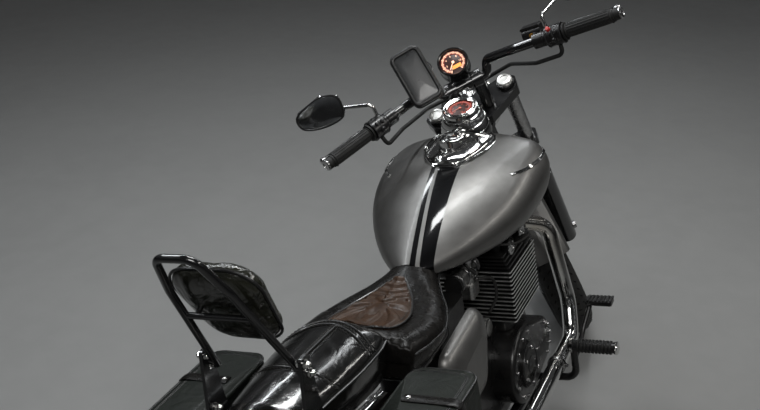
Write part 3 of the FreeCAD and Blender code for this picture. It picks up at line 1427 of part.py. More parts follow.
# The part: node name, body, and the function that draws it.
NODES = [
    ("main_frame", "frame", main_frame),
    ("swingarm", "frame", swingarm),
    ("shocks", "frame", shocks),
    ("crankcase", "frame", crankcase),
    ("engine_covers", "frame", engine_covers),
    ("cylinders", "frame", cylinders),
    ("cylinder_head", "frame", cylinder_head),
    ("intake", "frame", intake),
    ("headers", "frame", headers),
    ("silencers", "frame", silencers),
    ("side_covers", "frame", side_covers),
    ("fuel_tank", "frame", fuel_tank),
    ("tank_console", "frame", tank_console),
    ("rider_seat", "frame", rider_seat),
    ("pillion_seat", "frame", pillion_seat),
    ("rear_fender", "frame", rear_fender),
    ("rear_lamps", "frame", rear_lamps),
    ("sissy_bar", "frame", sissy_bar),
    ("backrest_pad", "frame", backrest_pad),
    ("saddlebag_left", "frame", saddlebag_left),
    ("saddlebag_right", "frame", lambda: mirrored(saddlebag_left())),
    ("bag_lid_left", "lid_left", lid_left),
    ("bag_lid_right", "lid_right", lambda: mirrored(lid_left())),
    ("footpegs", "frame", footpegs),
    ("foot_controls", "frame", foot_controls),
    ("chain", "frame", chain),
    ("chain_guard", "frame", chain_guard),
    ("rear_axle", "frame", rear_axle),
    ("rear_caliper", "frame", rear_caliper),
    ("side_stand", "stand", side_stand),
    ("rear_tyre", "rear_wheel", lambda: tyre_solid(REAR_TYRE, REAR_AXLE)),
    ("rear_rim", "rear_wheel", lambda: cast_wheel(REAR_TYRE, REAR_AXLE, REAR_HUB_RIGHT, REAR_HUB_LEFT)),
    ("rear_discs", "rear_wheel", rear_discs),
    ("front_tyre", "front_wheel", lambda: tyre_solid(FRONT_TYRE, FRONT_AXLE)),
    ("front_rim", "front_wheel", lambda: cast_wheel(FRONT_TYRE, FRONT_AXLE, FRONT_HUB_HALF, FRONT_HUB_HALF)),
    ("front_disc", "front_wheel", front_disc),
    ("front_axle", "fork", front_axle),
    ("fork_tubes", "fork", fork_tubes),
    ("fork_sliders", "fork", fork_sliders),
    ("yokes", "fork", yokes),
    ("handlebar", "fork", handlebar),
    ("grips", "fork", grips),
    ("hand_controls", "fork", hand_controls),
    ("mirrors", "fork", mirrors),
    ("headlamp", "fork", headlamp),
    ("speedometer", "fork", speedometer),
    ("phone_holder", "fork", phone_holder),
    ("front_fender", "fork", front_fender),
    ("front_caliper", "fork", front_caliper),
    ("cables", "fork", cables),
]
STEERED = ("fork", "front_wheel")


def body_placement(body):
    """Where a body's pieces go from the bike frame: parked, and steered if they turn with the fork."""
    place = parked_placement()
    if body in STEERED:
        return place.multiply(steer_placement(STEER_STOP))
    return place


def as_one(made):
    return Part.makeCompound(made) if isinstance(made, list) else made


def centred(shapes):
    """The shapes moved so that the origin is under the middle of their overall box."""
    box = FreeCAD.BoundBox()
    for shape in shapes.values():
        box.add(shape.optimalBoundingBox(False, False))
    shift = FreeCAD.Matrix()
    shift.move(V(-box.Center.x, -box.Center.y, 0))
    return {name: shape.transformed(shift) for name, shape in shapes.items()}


def parked_pieces():
    """Every node's shape as parked, on the floor and about the origin."""
    shapes = {}
    for name, body, draw in NODES:
        shapes[name] = as_one(draw()).transformed(body_placement(body).toMatrix())
    return centred(shapes)


def main():
    os.makedirs("parts", exist_ok=True)
    for name, shape in parked_pieces().items():
        shape.exportStep("parts/" + name + ".step")


if __name__ == "__main__":
    main()
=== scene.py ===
"""Looks of the cruiser motorcycle: finishes, leather work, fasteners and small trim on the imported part.

Forms are drawn in the motorcycle's own frame, upright and straight ahead, in millimetres: x forward from
the rear axle, y left, z up. They are then set on the parked part, which leans on its side stand with the
fork turned to its left stop.
"""

import json
import logging
from dataclasses import dataclass, field
from enum import Enum
from math import asin, atan2, copysign, cos, exp, hypot, log, pi, radians, sin, sqrt, tau
from typing import Any, Callable, Iterable, Sequence

import bmesh
import bpy
from mathutils import Matrix, Vector

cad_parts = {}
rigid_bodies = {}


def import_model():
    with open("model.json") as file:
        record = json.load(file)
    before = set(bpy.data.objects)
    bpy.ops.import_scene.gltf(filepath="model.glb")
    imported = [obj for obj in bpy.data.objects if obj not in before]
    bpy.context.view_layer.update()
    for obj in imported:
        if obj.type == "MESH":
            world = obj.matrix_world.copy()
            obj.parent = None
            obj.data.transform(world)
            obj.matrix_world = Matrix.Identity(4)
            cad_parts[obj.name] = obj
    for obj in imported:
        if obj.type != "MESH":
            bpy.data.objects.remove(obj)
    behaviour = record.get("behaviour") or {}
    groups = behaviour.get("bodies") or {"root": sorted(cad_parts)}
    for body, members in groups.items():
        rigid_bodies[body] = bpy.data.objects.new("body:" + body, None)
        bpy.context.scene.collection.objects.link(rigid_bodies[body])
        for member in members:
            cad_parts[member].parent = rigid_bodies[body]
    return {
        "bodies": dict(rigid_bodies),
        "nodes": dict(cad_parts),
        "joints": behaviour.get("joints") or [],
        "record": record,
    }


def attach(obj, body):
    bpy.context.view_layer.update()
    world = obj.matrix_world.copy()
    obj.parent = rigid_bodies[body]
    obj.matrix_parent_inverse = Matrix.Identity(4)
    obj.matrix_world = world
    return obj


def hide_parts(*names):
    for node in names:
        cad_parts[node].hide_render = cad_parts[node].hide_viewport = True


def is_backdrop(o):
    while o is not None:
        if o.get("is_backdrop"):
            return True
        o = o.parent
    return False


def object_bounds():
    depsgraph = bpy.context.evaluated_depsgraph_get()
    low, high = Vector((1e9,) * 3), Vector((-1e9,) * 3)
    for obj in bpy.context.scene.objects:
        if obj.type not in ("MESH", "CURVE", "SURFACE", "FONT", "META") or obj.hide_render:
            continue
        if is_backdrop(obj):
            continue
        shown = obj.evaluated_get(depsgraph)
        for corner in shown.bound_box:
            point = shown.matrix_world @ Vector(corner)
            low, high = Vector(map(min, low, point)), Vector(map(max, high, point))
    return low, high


LOG = logging.getLogger("cruiser")
MM = 0.001
WHEELBASE = 1655.0
ENGINE_X = WHEELBASE - 680.0
RAKE = radians(33.0)
TRAIL = 150.0
FRONT_RADIUS = 322.0
REAR_RADIUS = 326.0
LEAN = radians(-10.5)
NOSE_DOWN = radians(0.5109)
STEER_STOP = radians(34.0)

Point = Sequence[float]
Flat = tuple[float, float]
Colour = tuple[float, float, float]
Socket = bpy.types.NodeSocket

ORIGIN = (0, 0, 0)
AHEAD = Vector((1, 0, 0))
LEFT = Vector((0, 1, 0))
UP = Vector((0, 0, 1))
SQUARE = ((-1, -1), (1, -1), (1, 1), (-1, 1))


class Body(str, Enum):
    """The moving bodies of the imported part."""

    FRAME = "frame"
    FORK = "fork"
    REAR_WHEEL = "rear_wheel"
    FRONT_WHEEL = "front_wheel"
    LID_LEFT = "lid_left"
    LID_RIGHT = "lid_right"
    STAND = "side_stand_leg"

    @property
    def steered(self) -> bool:
        """Whether it turns with the fork."""
        return self in (Body.FORK, Body.FRONT_WHEEL)


PARK = (
    Matrix.Translation((-0.779971, -0.117041, 0.0015355))
    @ Matrix.Rotation(LEAN, 4, "X")
    @ Matrix.Rotation(NOSE_DOWN, 4, "Y")
)
STEER_FOOT = Vector(((WHEELBASE + TRAIL) * MM, 0.0, 0.0))
STEER_UP = Vector((-sin(RAKE), 0.0, cos(RAKE)))
TURN = (
    Matrix.Translation(STEER_FOOT)
    @ Matrix.Rotation(STEER_STOP, 4, STEER_UP)
    @ Matrix.Translation(-STEER_FOOT)
)
AXLE_AHEAD = FRONT_RADIUS * sin(RAKE) - TRAIL * cos(RAKE)
REAR_AXLE = Vector((0, 0, REAR_RADIUS))
FRONT_AXLE = Vector((WHEELBASE, 0, FRONT_RADIUS))


def rest(body: Body) -> Matrix:
    """The matrix from a body's own upright frame, in metres, to where it rests in the row frame."""
    return PARK @ TURN if body.steered else PARK


def fork_point(along: float, ahead: float, y: float = 0.0) -> Vector:
    """A point by its distance along and ahead of the steering axis, in millimetres."""
    return STEER_FOOT / MM + STEER_UP * along + Vector((STEER_UP.z, 0, -STEER_UP.x)) * ahead + LEFT * y


# Finishes


@dataclass(frozen=True)
class Finish:
    """A surface finish: its clean and soiled colours, gloss range, and relief.

    Attributes:
        name: The material's name.
        colour: Clean base colour, linear.
        soil: The colour that it is soiled or worn towards.
        cover: How much of it is soiled, 0 to 1.
        metallic: Metallic share.
        gloss: Lowest and highest roughness.
        coat: Clear coat weight.
        scale: Cells per metre of the mottling.
        grain: Cells per metre of the relief, 0 for none.
        height: Depth of the relief in metres.
        stretch: How the relief is drawn out along each axis.
        glow: Emission strength.
        fold: Folds per metre, 0 for none.
        fold_height: Depth of the folds in metres.
        specular: Specular level.
    """

    name: str
    colour: Colour
    soil: Colour = (0.02, 0.02, 0.02)
    cover: float = 0.25
    metallic: float = 0.0
    gloss: tuple[float, float] = (0.3, 0.5)
    coat: float = 0.0
    scale: float = 9.0
    grain: float = 0.0
    height: float = 0.0
    stretch: Colour = (1.0, 1.0, 1.0)
    glow: float = 0.0
    fold: float = 0.0
    fold_height: float = 0.0
    specular: float = 0.5


PAINT_BLACK = Finish("paint_black", (0.005, 0.005, 0.0055), (0.012, 0.0115, 0.011), 0.3, 0.0, (0.14, 0.26),
                     0.5, 7)
PAINT_SILVER = Finish("paint_silver", (0.16, 0.157, 0.152), (0.11, 0.107, 0.102), 0.3, 0.85, (0.38, 0.46),
                      0.1, 8, 900, 0.00002)
CHROME = Finish("chrome", (0.7, 0.7, 0.69), (0.26, 0.25, 0.23), 0.3, 1.0, (0.05, 0.15), 0.0, 14)
CHROME_DULL = Finish("chrome_dull", (0.52, 0.52, 0.52), (0.12, 0.11, 0.1), 0.4, 1.0, (0.16, 0.34), 0.0, 16)
CAP_BRIGHT = Finish("cap_bright", (0.62, 0.62, 0.6), (0.32, 0.31, 0.28), 0.4, 0.85, (0.3, 0.42), 0.0, 40)
ALLOY = Finish("alloy_cast", (0.5, 0.5, 0.49), (0.06, 0.055, 0.05), 0.55, 0.9, (0.28, 0.5), 0.0, 26, 700,
               0.00008)
ALLOY_DARK = Finish("alloy_dark", (0.04, 0.04, 0.042), (0.015, 0.015, 0.015), 0.4, 0.7, (0.3, 0.5), 0.0, 18,
                    700, 0.00008)
COVER_BLACK = Finish("cover_black", (0.006, 0.006, 0.0065), (0.02, 0.018, 0.016), 0.35, 0.2, (0.24, 0.4), 0.1,
                     15, 900, 0.00004)
FIN_BLACK = Finish("fin_black", (0.006, 0.006, 0.0065), (0.02, 0.018, 0.016), 0.35, 0.3, (0.3, 0.5), 0.0, 16)
STEEL = Finish("steel", (0.34, 0.34, 0.35), (0.1, 0.08, 0.06), 0.35, 1.0, (0.2, 0.38), 0.0, 20)
STEEL_DARK = Finish("steel_dark", (0.045, 0.043, 0.04), (0.08, 0.05, 0.03), 0.3, 0.8, (0.3, 0.55), 0.0, 25)
DISC_STEEL = Finish("disc_steel", (0.36, 0.36, 0.37), (0.14, 0.13, 0.12), 0.3, 1.0, (0.2, 0.34), 0.0, 12,
                    1500, 0.00003)
RUBBER = Finish("rubber", (0.007, 0.007, 0.007), (0.018, 0.017, 0.015), 0.4, 0.0, (0.5, 0.75), 0.0, 22, 1600,
                0.00008, specular=0.35)
TYRE = Finish("tyre_rubber", (0.009, 0.009, 0.009), (0.03, 0.028, 0.025), 0.45, 0.0, (0.6, 0.85), 0.0, 20,
              1200, 0.0001, specular=0.35)
TREAD = Finish("tread_groove", (0.002, 0.002, 0.002), (0.006, 0.006, 0.005), 0.4, 0.0, (0.8, 0.95), 0.0, 30,
               specular=0.2)
PLASTIC = Finish("plastic_black", (0.006, 0.006, 0.0065), (0.016, 0.016, 0.015), 0.3, 0.0, (0.3, 0.46), 0.0,
                 20, 1800, 0.00003)
LEATHER = Finish("leather_black", (0.0055, 0.0052, 0.005), (0.014, 0.012, 0.01), 0.35, 0.0, (0.22, 0.36),
                 0.04, 24, 420, 0.0002, fold=20, fold_height=0.0016, specular=0.1)
LEATHER_MATT = Finish("leather_matt", (0.0085, 0.0105, 0.0088), (0.02, 0.023, 0.019), 0.45, 0.0, (0.36, 0.55),
                      0.05, 20, 330, 0.00028, fold=13, fold_height=0.003, specular=0.12)
LEATHER_BROWN = Finish("leather_brown", (0.055, 0.0285, 0.0155), (0.006, 0.004, 0.0035), 0.7, 0.0,
                       (0.28, 0.5), 0.15, 45, 480, 0.00025, fold=45, fold_height=0.0008, specular=0.2)
VINYL = Finish("vinyl_gloss", (0.0045, 0.0045, 0.0045), (0.012, 0.0115, 0.01), 0.3, 0.0, (0.12, 0.24), 0.5,
               16, 260, 0.0001, fold=14, fold_height=0.002)
VINYL_WRINKLED = Finish("vinyl_wrinkled", (0.0085, 0.009, 0.0062), (0.026, 0.026, 0.017), 0.5, 0.0,
                        (0.14, 0.3), 0.4, 16, 260, 0.0001, fold=19, fold_height=0.012)
PIPING = Finish("piping", (0.005, 0.005, 0.005), (0.014, 0.013, 0.012), 0.3, 0.0, (0.25, 0.4), 0.2, 60, 900,
                0.00005)
THREAD = Finish("thread", (0.02, 0.018, 0.015), (0.008, 0.007, 0.006), 0.4, 0.0, (0.6, 0.8), 0.0, 80)
MIRROR = Finish("mirror_glass", (0.8, 0.82, 0.84), (0.4, 0.41, 0.42), 0.4, 1.0, (0.03, 0.1), 0.0, 12)
LENS_CLEAR = Finish("lens_clear", (0.5, 0.52, 0.54), (0.24, 0.25, 0.27), 0.45, 0.8, (0.06, 0.16), 0.8, 9, 55,
                    0.0012, stretch=(1.0, 3.0, 0.12))
LENS_RED = Finish("lens_red", (0.3, 0.006, 0.008), (0.14, 0.003, 0.004), 0.3, 0.0, (0.06, 0.14), 0.7, 40, 300,
                  0.0004)
LENS_AMBER = Finish("lens_amber", (0.62, 0.16, 0.01), (0.4, 0.08, 0.005), 0.3, 0.0, (0.06, 0.14), 0.7, 40,
                    300, 0.0004)
PLATE_PALE = Finish("plate_pale", (0.5, 0.5, 0.48), (0.25, 0.24, 0.22), 0.3, 0.0, (0.35, 0.5), 0.2, 12)
DIAL_FACE = Finish("dial_face", (0.03, 0.006, 0.004), (0.012, 0.003, 0.002), 0.4, 0.0, (0.3, 0.4), 0.0, 60,
                   glow=0.5)
DIAL_MARK = Finish("dial_mark", (1.0, 0.62, 0.42), (0.9, 0.42, 0.28), 0.3, 0.0, (0.3, 0.4), 0.0, 60, glow=1.0)
DIAL_RING = Finish("dial_ring", (0.2, 0.014, 0.006), (0.06, 0.005, 0.003), 0.6, 0.0, (0.3, 0.4), 0.0, 110,
                   glow=0.45)
DIAL_DEEP = Finish("dial_deep", (0.5, 0.12, 0.075), (0.3, 0.05, 0.03), 0.5, 0.0, (0.3, 0.4), 0.0, 60,
                   glow=0.35)
WINDOW_AMBER = Finish("window_amber", (0.85, 0.33, 0.08), (0.6, 0.18, 0.03), 0.3, 0.0, (0.25, 0.3), 0.0, 60,
                      glow=1.0)
SCREEN = Finish("screen_grey", (0.016, 0.017, 0.018), (0.026, 0.027, 0.028), 0.4, 0.0, (0.25, 0.4), 0.2, 8)
SWITCH_RED = Finish("switch_red", (0.42, 0.012, 0.008), (0.2, 0.006, 0.004), 0.3, 0.0, (0.3, 0.45), 0.0, 40)
SIGHT = Finish("sight_glass", (0.25, 0.12, 0.02), (0.1, 0.05, 0.01), 0.3, 0.0, (0.05, 0.1), 0.5, 40)
FLOOR_PALE = Finish("floor_pale", (0.225, 0.225, 0.221), (0.2, 0.2, 0.197), 0.5, 0.0, (0.55, 0.7), 0.0, 1.5)
STRIPE_BLACK: Colour = (0.003, 0.003, 0.0033)
FIN_EDGE: Colour = (0.85, 0.85, 0.84)
AIRBOX_BLACK: Colour = (0.008, 0.008, 0.008)
HEAT_TINT: Colour = (0.56, 0.5, 0.41)
TUBE_LIGHT: Colour = (1.7, 1.73, 1.76)


# Materials


class Nodes:
    """Adds nodes to one tree."""

    def __init__(self, tree: bpy.types.NodeTree) -> None:
        """Starts on a tree.

        Args:
            tree: The tree that takes the nodes.
        """
        self.tree = tree

    def __call__(self, kind: str, inputs: dict[str | int, Any] | None = None,
                 **settings: Any) -> bpy.types.Node:
        """Adds a node.

        Args:
            kind: The node's type.
            inputs: What its sockets take, by name or index: a value, a colour, or another node's socket.
            settings: The node's own properties, set first.

        Returns:
            The node.
        """
        node = self.tree.nodes.new(kind)
        for label, value in settings.items():
            setattr(node, label, value)
        for key, value in (inputs or {}).items():
            self.fill(node.inputs[key], value)
        return node

    def fill(self, socket: Socket, value: Any) -> None:
        """Links a socket to another, or sets its value. A colour gets an alpha of 1.

        Args:
            socket: The input.
            value: Another node's socket, a number, a vector or a colour.
        """
        if isinstance(value, Socket):
            self.tree.links.new(value, socket)
        else:
            socket.default_value = (*value, 1.0) if socket.type == "RGBA" else value

    def calc(self, operation: str, first: Any, second: Any = 0.0) -> Socket:
        """A Math node of two values."""
        return self("ShaderNodeMath", {0: first, 1: second}, operation=operation).outputs[0]

    def mix(self, share: Any, first: Any, second: Any) -> Socket:
        """A colour between two, by a share."""
        return self("ShaderNodeMix", {0: share, 6: first, 7: second}, data_type="RGBA").outputs[2]

    def parts(self, vector: Socket) -> Sequence[Socket]:
        """A vector's x, y and z."""
        return self("ShaderNodeSeparateXYZ", {0: vector}).outputs

    def span(self, value: Socket, low: float, high: float, start: Any = 0.0, end: Any = 1.0) -> Socket:
        """A value from low to high, mapped from start to end."""
        ends = {"From Min": low, "From Max": high, "To Min": start, "To Max": end}
        return self("ShaderNodeMapRange", {"Value": value, **ends}).outputs["Result"]


Given = Sequence[Socket]


def mottle(add: Nodes, given: Given) -> Socket:
    """Soft blotches between a low and a high value.

    Args:
        add: Adds nodes to the effect's group.
        given: The group's inputs.

    Returns:
        What goes out of the group.
    """
    places = {"Vector": given["Vector"], "Scale": given["Scale"]}
    noise = add("ShaderNodeTexNoise", {**places, "Detail": 5, "Roughness": 0.6})
    return add.span(noise.outputs["Fac"], 0.32, 0.7, given["Low"], given["High"])


def soil(add: Nodes, given: Given) -> Socket:
    """A clean colour that is soiled in patches, more in a coarse pattern broken by a fine one.

    Args:
        add: Adds nodes to the effect's group.
        given: The group's inputs.

    Returns:
        What goes out of the group.
    """
    product = add.calc("MULTIPLY", *(
        add("ShaderNodeTexNoise",
            {"Vector": given["Vector"], "Scale": scale, "Detail": detail}).outputs["Fac"]
        for scale, detail in ((given["Scale"], 6), (add.calc("MULTIPLY", given["Scale"], 7.3), 3))
    ))
    return add.mix(add.span(product, 0.14, 0.38, 0.0, given["Cover"]), given["Clean"], given["Soil"])


def relief(add: Nodes, given: Given) -> Socket:
    """A pebbled relief, as on grained leather or cast metal.

    Args:
        add: Adds nodes to the effect's group.
        given: The group's inputs.

    Returns:
        What goes out of the group.
    """
    places = {"Vector": given["Vector"], "Scale": given["Scale"]}
    cells = add("ShaderNodeTexVoronoi", places, feature="SMOOTH_F1").outputs["Distance"]
    noise = add("ShaderNodeTexNoise", {**places, "Detail": 3}).outputs["Fac"]
    heights = {"Height": add.calc("ADD", cells, noise), "Distance": given["Height"], "Strength": 1.0}
    return add("ShaderNodeBump", heights).outputs["Normal"]


def folds(add: Nodes, given: Given) -> Socket:
    """Soft ridges and creases, as in worn leather or vinyl, over a finer normal.

    Args:
        add: Adds nodes to the effect's group.
        given: The group's inputs.

    Returns:
        What goes out of the group.
    """
    places = {"Vector": given["Vector"], "Scale": given["Scale"]}
    noise = add("ShaderNodeTexNoise", {**places, "Detail": 1.5, "Distortion": 1.4}).outputs["Fac"]
    ridge = add.calc("ABSOLUTE", add.calc("SUBTRACT", noise, 0.5))
    heights = {"Height": ridge, "Distance": given["Height"], "Normal": given["Normal"]}
    return add("ShaderNodeBump", heights).outputs["Normal"]


def edge(add: Nodes, given: Given) -> Socket:
    """1 on the right of a line y = Offset + Slope * x, 0 on its left, with a crisp edge.

    Args:
        add: Adds nodes to the effect's group.
        given: The group's inputs.

    Returns:
        What goes out of the group.
    """
    parts = add.parts(given["Vector"])
    line = add("ShaderNodeMath", {0: parts["X"], 1: given["Slope"], 2: given["Offset"]},
               operation="MULTIPLY_ADD")
    return add.span(add.calc("SUBTRACT", line.outputs[0], parts["Y"]), -0.0003, 0.0003)


def effect(draw: Callable[[Nodes, Given], Socket], gives: str, **takes: str) -> bpy.types.NodeTree:
    """A node group that the materials share. It gives a colour, value or normal that varies.

    Args:
        draw: Adds its nodes and gives back what goes out.
        gives: Its output's name and kind of socket.
        takes: The kinds of its further inputs. All take a Vector.

    Returns:
        The group.
    """
    group = bpy.data.node_groups.new("fx_" + draw.__name__, "ShaderNodeTree")
    for label, kind in {"Vector": "Vector", **takes}.items():
        group.interface.new_socket(label, in_out="INPUT", socket_type="NodeSocket" + kind)
    label, kind = gives.split()
    group.interface.new_socket(label, in_out="OUTPUT", socket_type="NodeSocket" + kind)
    add = Nodes(group)
    given, leave = add("NodeGroupInput").outputs, add("NodeGroupOutput")
    add.fill(leave.inputs[label], draw(add, given))
    return group


class Palette:
    """Makes each material once, from its finish."""

    def __init__(self) -> None:
        """Makes the shared effects, with no material yet."""
        self.made: dict[tuple[str, bool], bpy.types.Material] = {}
        self.mottle = effect(mottle, "Value Float", Scale="Float", Low="Float", High="Float")
        self.soil = effect(soil, "Colour Color", Clean="Color", Soil="Color", Scale="Float", Cover="Float")
        self.relief = effect(relief, "Normal Vector", Scale="Float", Height="Float")
        self.folds = effect(folds, "Normal Vector", Scale="Float", Height="Float", Normal="Vector")
        self.edge = effect(edge, "Value Float", Offset="Float", Slope="Float")

    def get(self, finish: Finish, steered: bool = False) -> bpy.types.Material:
        """The material of a finish.

        Args:
            finish: The finish.
            steered: Whether it is for a piece that turns with the fork.

        Returns:
            The material, made once for each pair.
        """
        key = (finish.name, steered)
        if key not in self.made:
            self.made[key] = Surface(finish, finish.name + "_steered" * steered, steered).dress()
        return self.made[key]


class Surface:
    """One material under construction, on the motorcycle's own frame."""

    def __init__(self, finish: Finish, name: str, steered: bool = False) -> None:
        """Starts a material and its place on the motorcycle.

        Args:
            finish: Its finish.
            name: Its name.
            steered: Whether it turns with the fork.
        """
        self.finish = finish
        self.material = bpy.data.materials.new(name)
        self.material.use_nodes = True
        tree = self.material.node_tree
        self.shader = next(node for node in tree.nodes if node.type == "BSDF_PRINCIPLED")
        self.add = Nodes(tree)
        place = rest(Body.FORK if steered else Body.FRAME).inverted()
        where = {"Vector": self.add("ShaderNodeTexCoord").outputs["Object"],
                 "Location": place.translation, "Rotation": place.to_euler("XYZ")}
        self.vector = self.add("ShaderNodeMapping", where).outputs["Vector"]

    def effect(self, group: bpy.types.NodeTree, **values: Any) -> Socket:
        """A shared effect, with its own values."""
        return self.add("ShaderNodeGroup", {"Vector": self.vector, **values}, node_tree=group).outputs[0]

    def soiled(self, scale: float, cover: float) -> Socket:
        """The finish's colour, soiled in patches."""
        colours = {"Clean": self.finish.colour, "Soil": self.finish.soil}
        return self.effect(PALETTE.soil, **colours, Scale=scale, Cover=cover)

    def dress(self, colour: Socket | None = None, **inputs: Socket) -> bpy.types.Material:
        """Sets the Principled node.

        Args:
            colour: Its base colour, where that isn't the finish's own.
            inputs: Sockets for its Metallic or Coat, where those vary.

        Returns:
            The finished material.
        """
        finish, add = self.finish, self.add
        if colour is None:
            colour = self.soiled(finish.scale, finish.cover)
        low, high = finish.gloss
        takes = {
            "Base Color": colour, "Coat Weight": inputs.get("Coat", finish.coat), "Coat Roughness": 0.08,
            "Roughness": self.effect(PALETTE.mottle, Scale=finish.scale * 2.1, Low=low, High=high),
            "Metallic": inputs.get("Metallic", finish.metallic), "Specular IOR Level": finish.specular,
        }
        if finish.grain:
            drawn = add("ShaderNodeMapping",
                        {"Vector": self.vector, "Scale": finish.stretch}).outputs["Vector"]
            normal = self.effect(PALETTE.relief, Vector=drawn, Scale=finish.grain, Height=finish.height)
            if finish.fold:
                normal = self.effect(PALETTE.folds, Scale=finish.fold, Height=finish.fold_height,
                                     Normal=normal)
            takes["Normal"] = normal
        if finish.glow:
            takes |= {"Emission Color": colour, "Emission Strength": finish.glow}
        for label, value in takes.items():
            add.fill(self.shader.inputs[label], value)
        return self.material


def tank_paint() -> bpy.types.Material:
    """The tank's satin metallic paint, with a narrow and a wide black stripe beside a bright line.

    Returns:
        The material.
    """
    surface = Surface(PAINT_SILVER, "tank_paint")
    calc = surface.add.calc
    sides = [surface.effect(PALETTE.edge, Offset=y - slope * 0.959, Slope=slope)
             for y, slope in ((0.036, 0.1254), (0.025, 0.135), (0.016, 0.1386), (-0.042, 0.0495))]
    stripes = calc("ADD", calc("SUBTRACT", *sides[:2]), calc("SUBTRACT", *sides[2:]))
    colour = surface.add.mix(stripes, surface.soiled(6.0, 0.4), STRIPE_BLACK)
    metallic = calc("MAXIMUM", stripes, PAINT_SILVER.metallic)
    return surface.dress(colour, Metallic=metallic,
                         Coat=calc("MAXIMUM", calc("MULTIPLY", stripes, 0.7), PAINT_SILVER.coat))


def fins_edged() -> bpy.types.Material:
    """Black cast fins whose outer edges are machined bright.

    Returns:
        The material.
    """
    surface = Surface(FIN_BLACK, "fins_edged")
    add, calc = surface.add, surface.add.calc
    normal = add("ShaderNodeVectorTransform", {0: add("ShaderNodeNewGeometry").outputs["Normal"]},
                 vector_type="NORMAL", convert_from="WORLD", convert_to="OBJECT").outputs[0]
    upright = calc("LESS_THAN", calc("ABSOLUTE", add.parts(normal)["Z"]), 0.5)
    place = add.parts(surface.vector)
    out = calc("GREATER_THAN", calc("ABSOLUTE", place["Y"]), 0.1605)
    ends = calc("GREATER_THAN", calc("ABSOLUTE", calc("SUBTRACT", place["X"], ENGINE_X * MM)), 0.1025)
    bright = calc("MULTIPLY", calc("MAXIMUM", out, ends), upright)
    colour = add.mix(bright, surface.soiled(16.0, 0.35), FIN_EDGE)
    return surface.dress(colour, Metallic=calc("MAXIMUM", bright, FIN_BLACK.metallic))


def intake_cast() -> bpy.types.Material:
    """Cast carburettors, and the black airbox behind them.

    Returns:
        The material.
    """
    surface = Surface(ALLOY, "intake_cast")
    ahead = surface.add.calc("GREATER_THAN", surface.add.parts(surface.vector)["X"], 0.745)
    return surface.dress(surface.add.mix(ahead, AIRBOX_BLACK, surface.soiled(26.0, 0.5)), Metallic=ahead)


def chrome_heated() -> bpy.types.Material:
    """Chrome pipes, tinted straw and brown by heat near the ports.

    Returns:
        The material.
    """
    surface = Surface(CHROME, "chrome_heated")
    high = surface.add.span(surface.add.parts(surface.vector)["Z"], 0.36, 0.62)
    heat = surface.add.calc("MULTIPLY", high, surface.effect(PALETTE.mottle, Scale=14.0, Low=0.2, High=0.8))
    return surface.dress(surface.add.mix(heat, surface.soiled(14.0, 0.3), HEAT_TINT))


PALETTE: Palette


# Forms


def unit(axis: Point) -> Vector:
    """A vector made one long."""
    return Vector(axis).normalized()


def across(point: Point) -> Vector:
    """A point's or direction's mirror on the motorcycle's other side."""
    x, y, z = point
    return Vector((x, -y, z))


def square(axis: Vector) -> tuple[Vector, Vector]:
    """Two unit vectors square to an axis and to each other."""
    side = axis.cross(UP if abs(axis.z) < 0.9 else AHEAD).normalized()
    return side, axis.cross(side).normalized()


def swung(side: Vector, up: Vector, angle: float) -> Vector:
    """A direction at an angle from side towards up."""
    return side * cos(angle) + up * sin(angle)


def hoop(centre: Point, axis: Vector, radius: float, steps: int = 28) -> list[Vector]:
    """Points round a circle."""
    side, up = square(axis)
    return [Vector(centre) + swung(side, up, tau * i / steps) * radius for i in range(steps)]


def arc(start: Point, middle: Point, end: Point, steps: int) -> list[Vector]:
    """Points on the circle through three points of a plane, ends included.

    Args:
        start: The first point.
        middle: A point between.
        end: The last point.
        steps: How many steps.

    Returns:
        The points, or those of a straight line where the three lie on one.
    """
    (ax, ay), (bx, by), (cx, cy) = start, middle, end
    d = 2 * (ax * (by - cy) + bx * (cy - ay) + cx * (ay - by))
    if abs(d) < 1e-6:
        return [Vector(start).lerp(Vector(end), i / steps) for i in range(steps + 1)]
    a, b, c = (x**2 + y**2 for x, y in (start, middle, end))
    x = (a * (by - cy) + b * (cy - ay) + c * (ay - by)) / d
    y = (a * (cx - bx) + b * (ax - cx) + c * (bx - ax)) / d
    radius = hypot(ax - x, ay - y)
    first, mid, last = (atan2(v - y, u - x) for u, v in (start, middle, end))
    sweep = (last - first) % tau
    if (mid - first) % tau > sweep:
        sweep -= tau
    turns = (first + sweep * i / steps for i in range(steps + 1))
    return [Vector((x + radius * cos(turn), y + radius * sin(turn))) for turn in turns]


def quarters(centres: Iterable[Flat], radius: float, steps: int) -> list[list[Flat]]:
    """The four corners of a rounded outline, as quarter circles round their centres, one after the other.

    Args:
        centres: The four centres, in order round the outline.
        radius: The corners' radius.
        steps: How many steps each corner takes.

    Returns:
        The points of each corner.
    """
    turns = [[radians(90 * corner + 90 * i / steps) for i in range(steps + 1)] for corner in range(4)]
    return [[(x + radius * cos(a), y + radius * sin(a)) for a in arcs]
            for (x, y), arcs in zip(centres, turns)]


def corners(x0: float, x1: float, y0: float, y1: float, radius: float) -> list[Flat]:
    """The centres of a rounded rectangle's corners."""
    x0, x1, y0, y1 = x0 + radius, x1 - radius, y0 + radius, y1 - radius
    return [(x1, y1), (x0, y1), (x0, y0), (x1, y0)]


def curve_at(knots: Sequence[Vector], t: float) -> Vector:
    """A point on the smooth curve between the middle two of four knots, by its share of the way."""
    a, b, c, d = knots
    return 0.5 * (2 * b + (c - a) * t + (2 * a - 5 * b + 4 * c - d) * t**2 + (3 * b - a - 3 * c + d) * t**3)


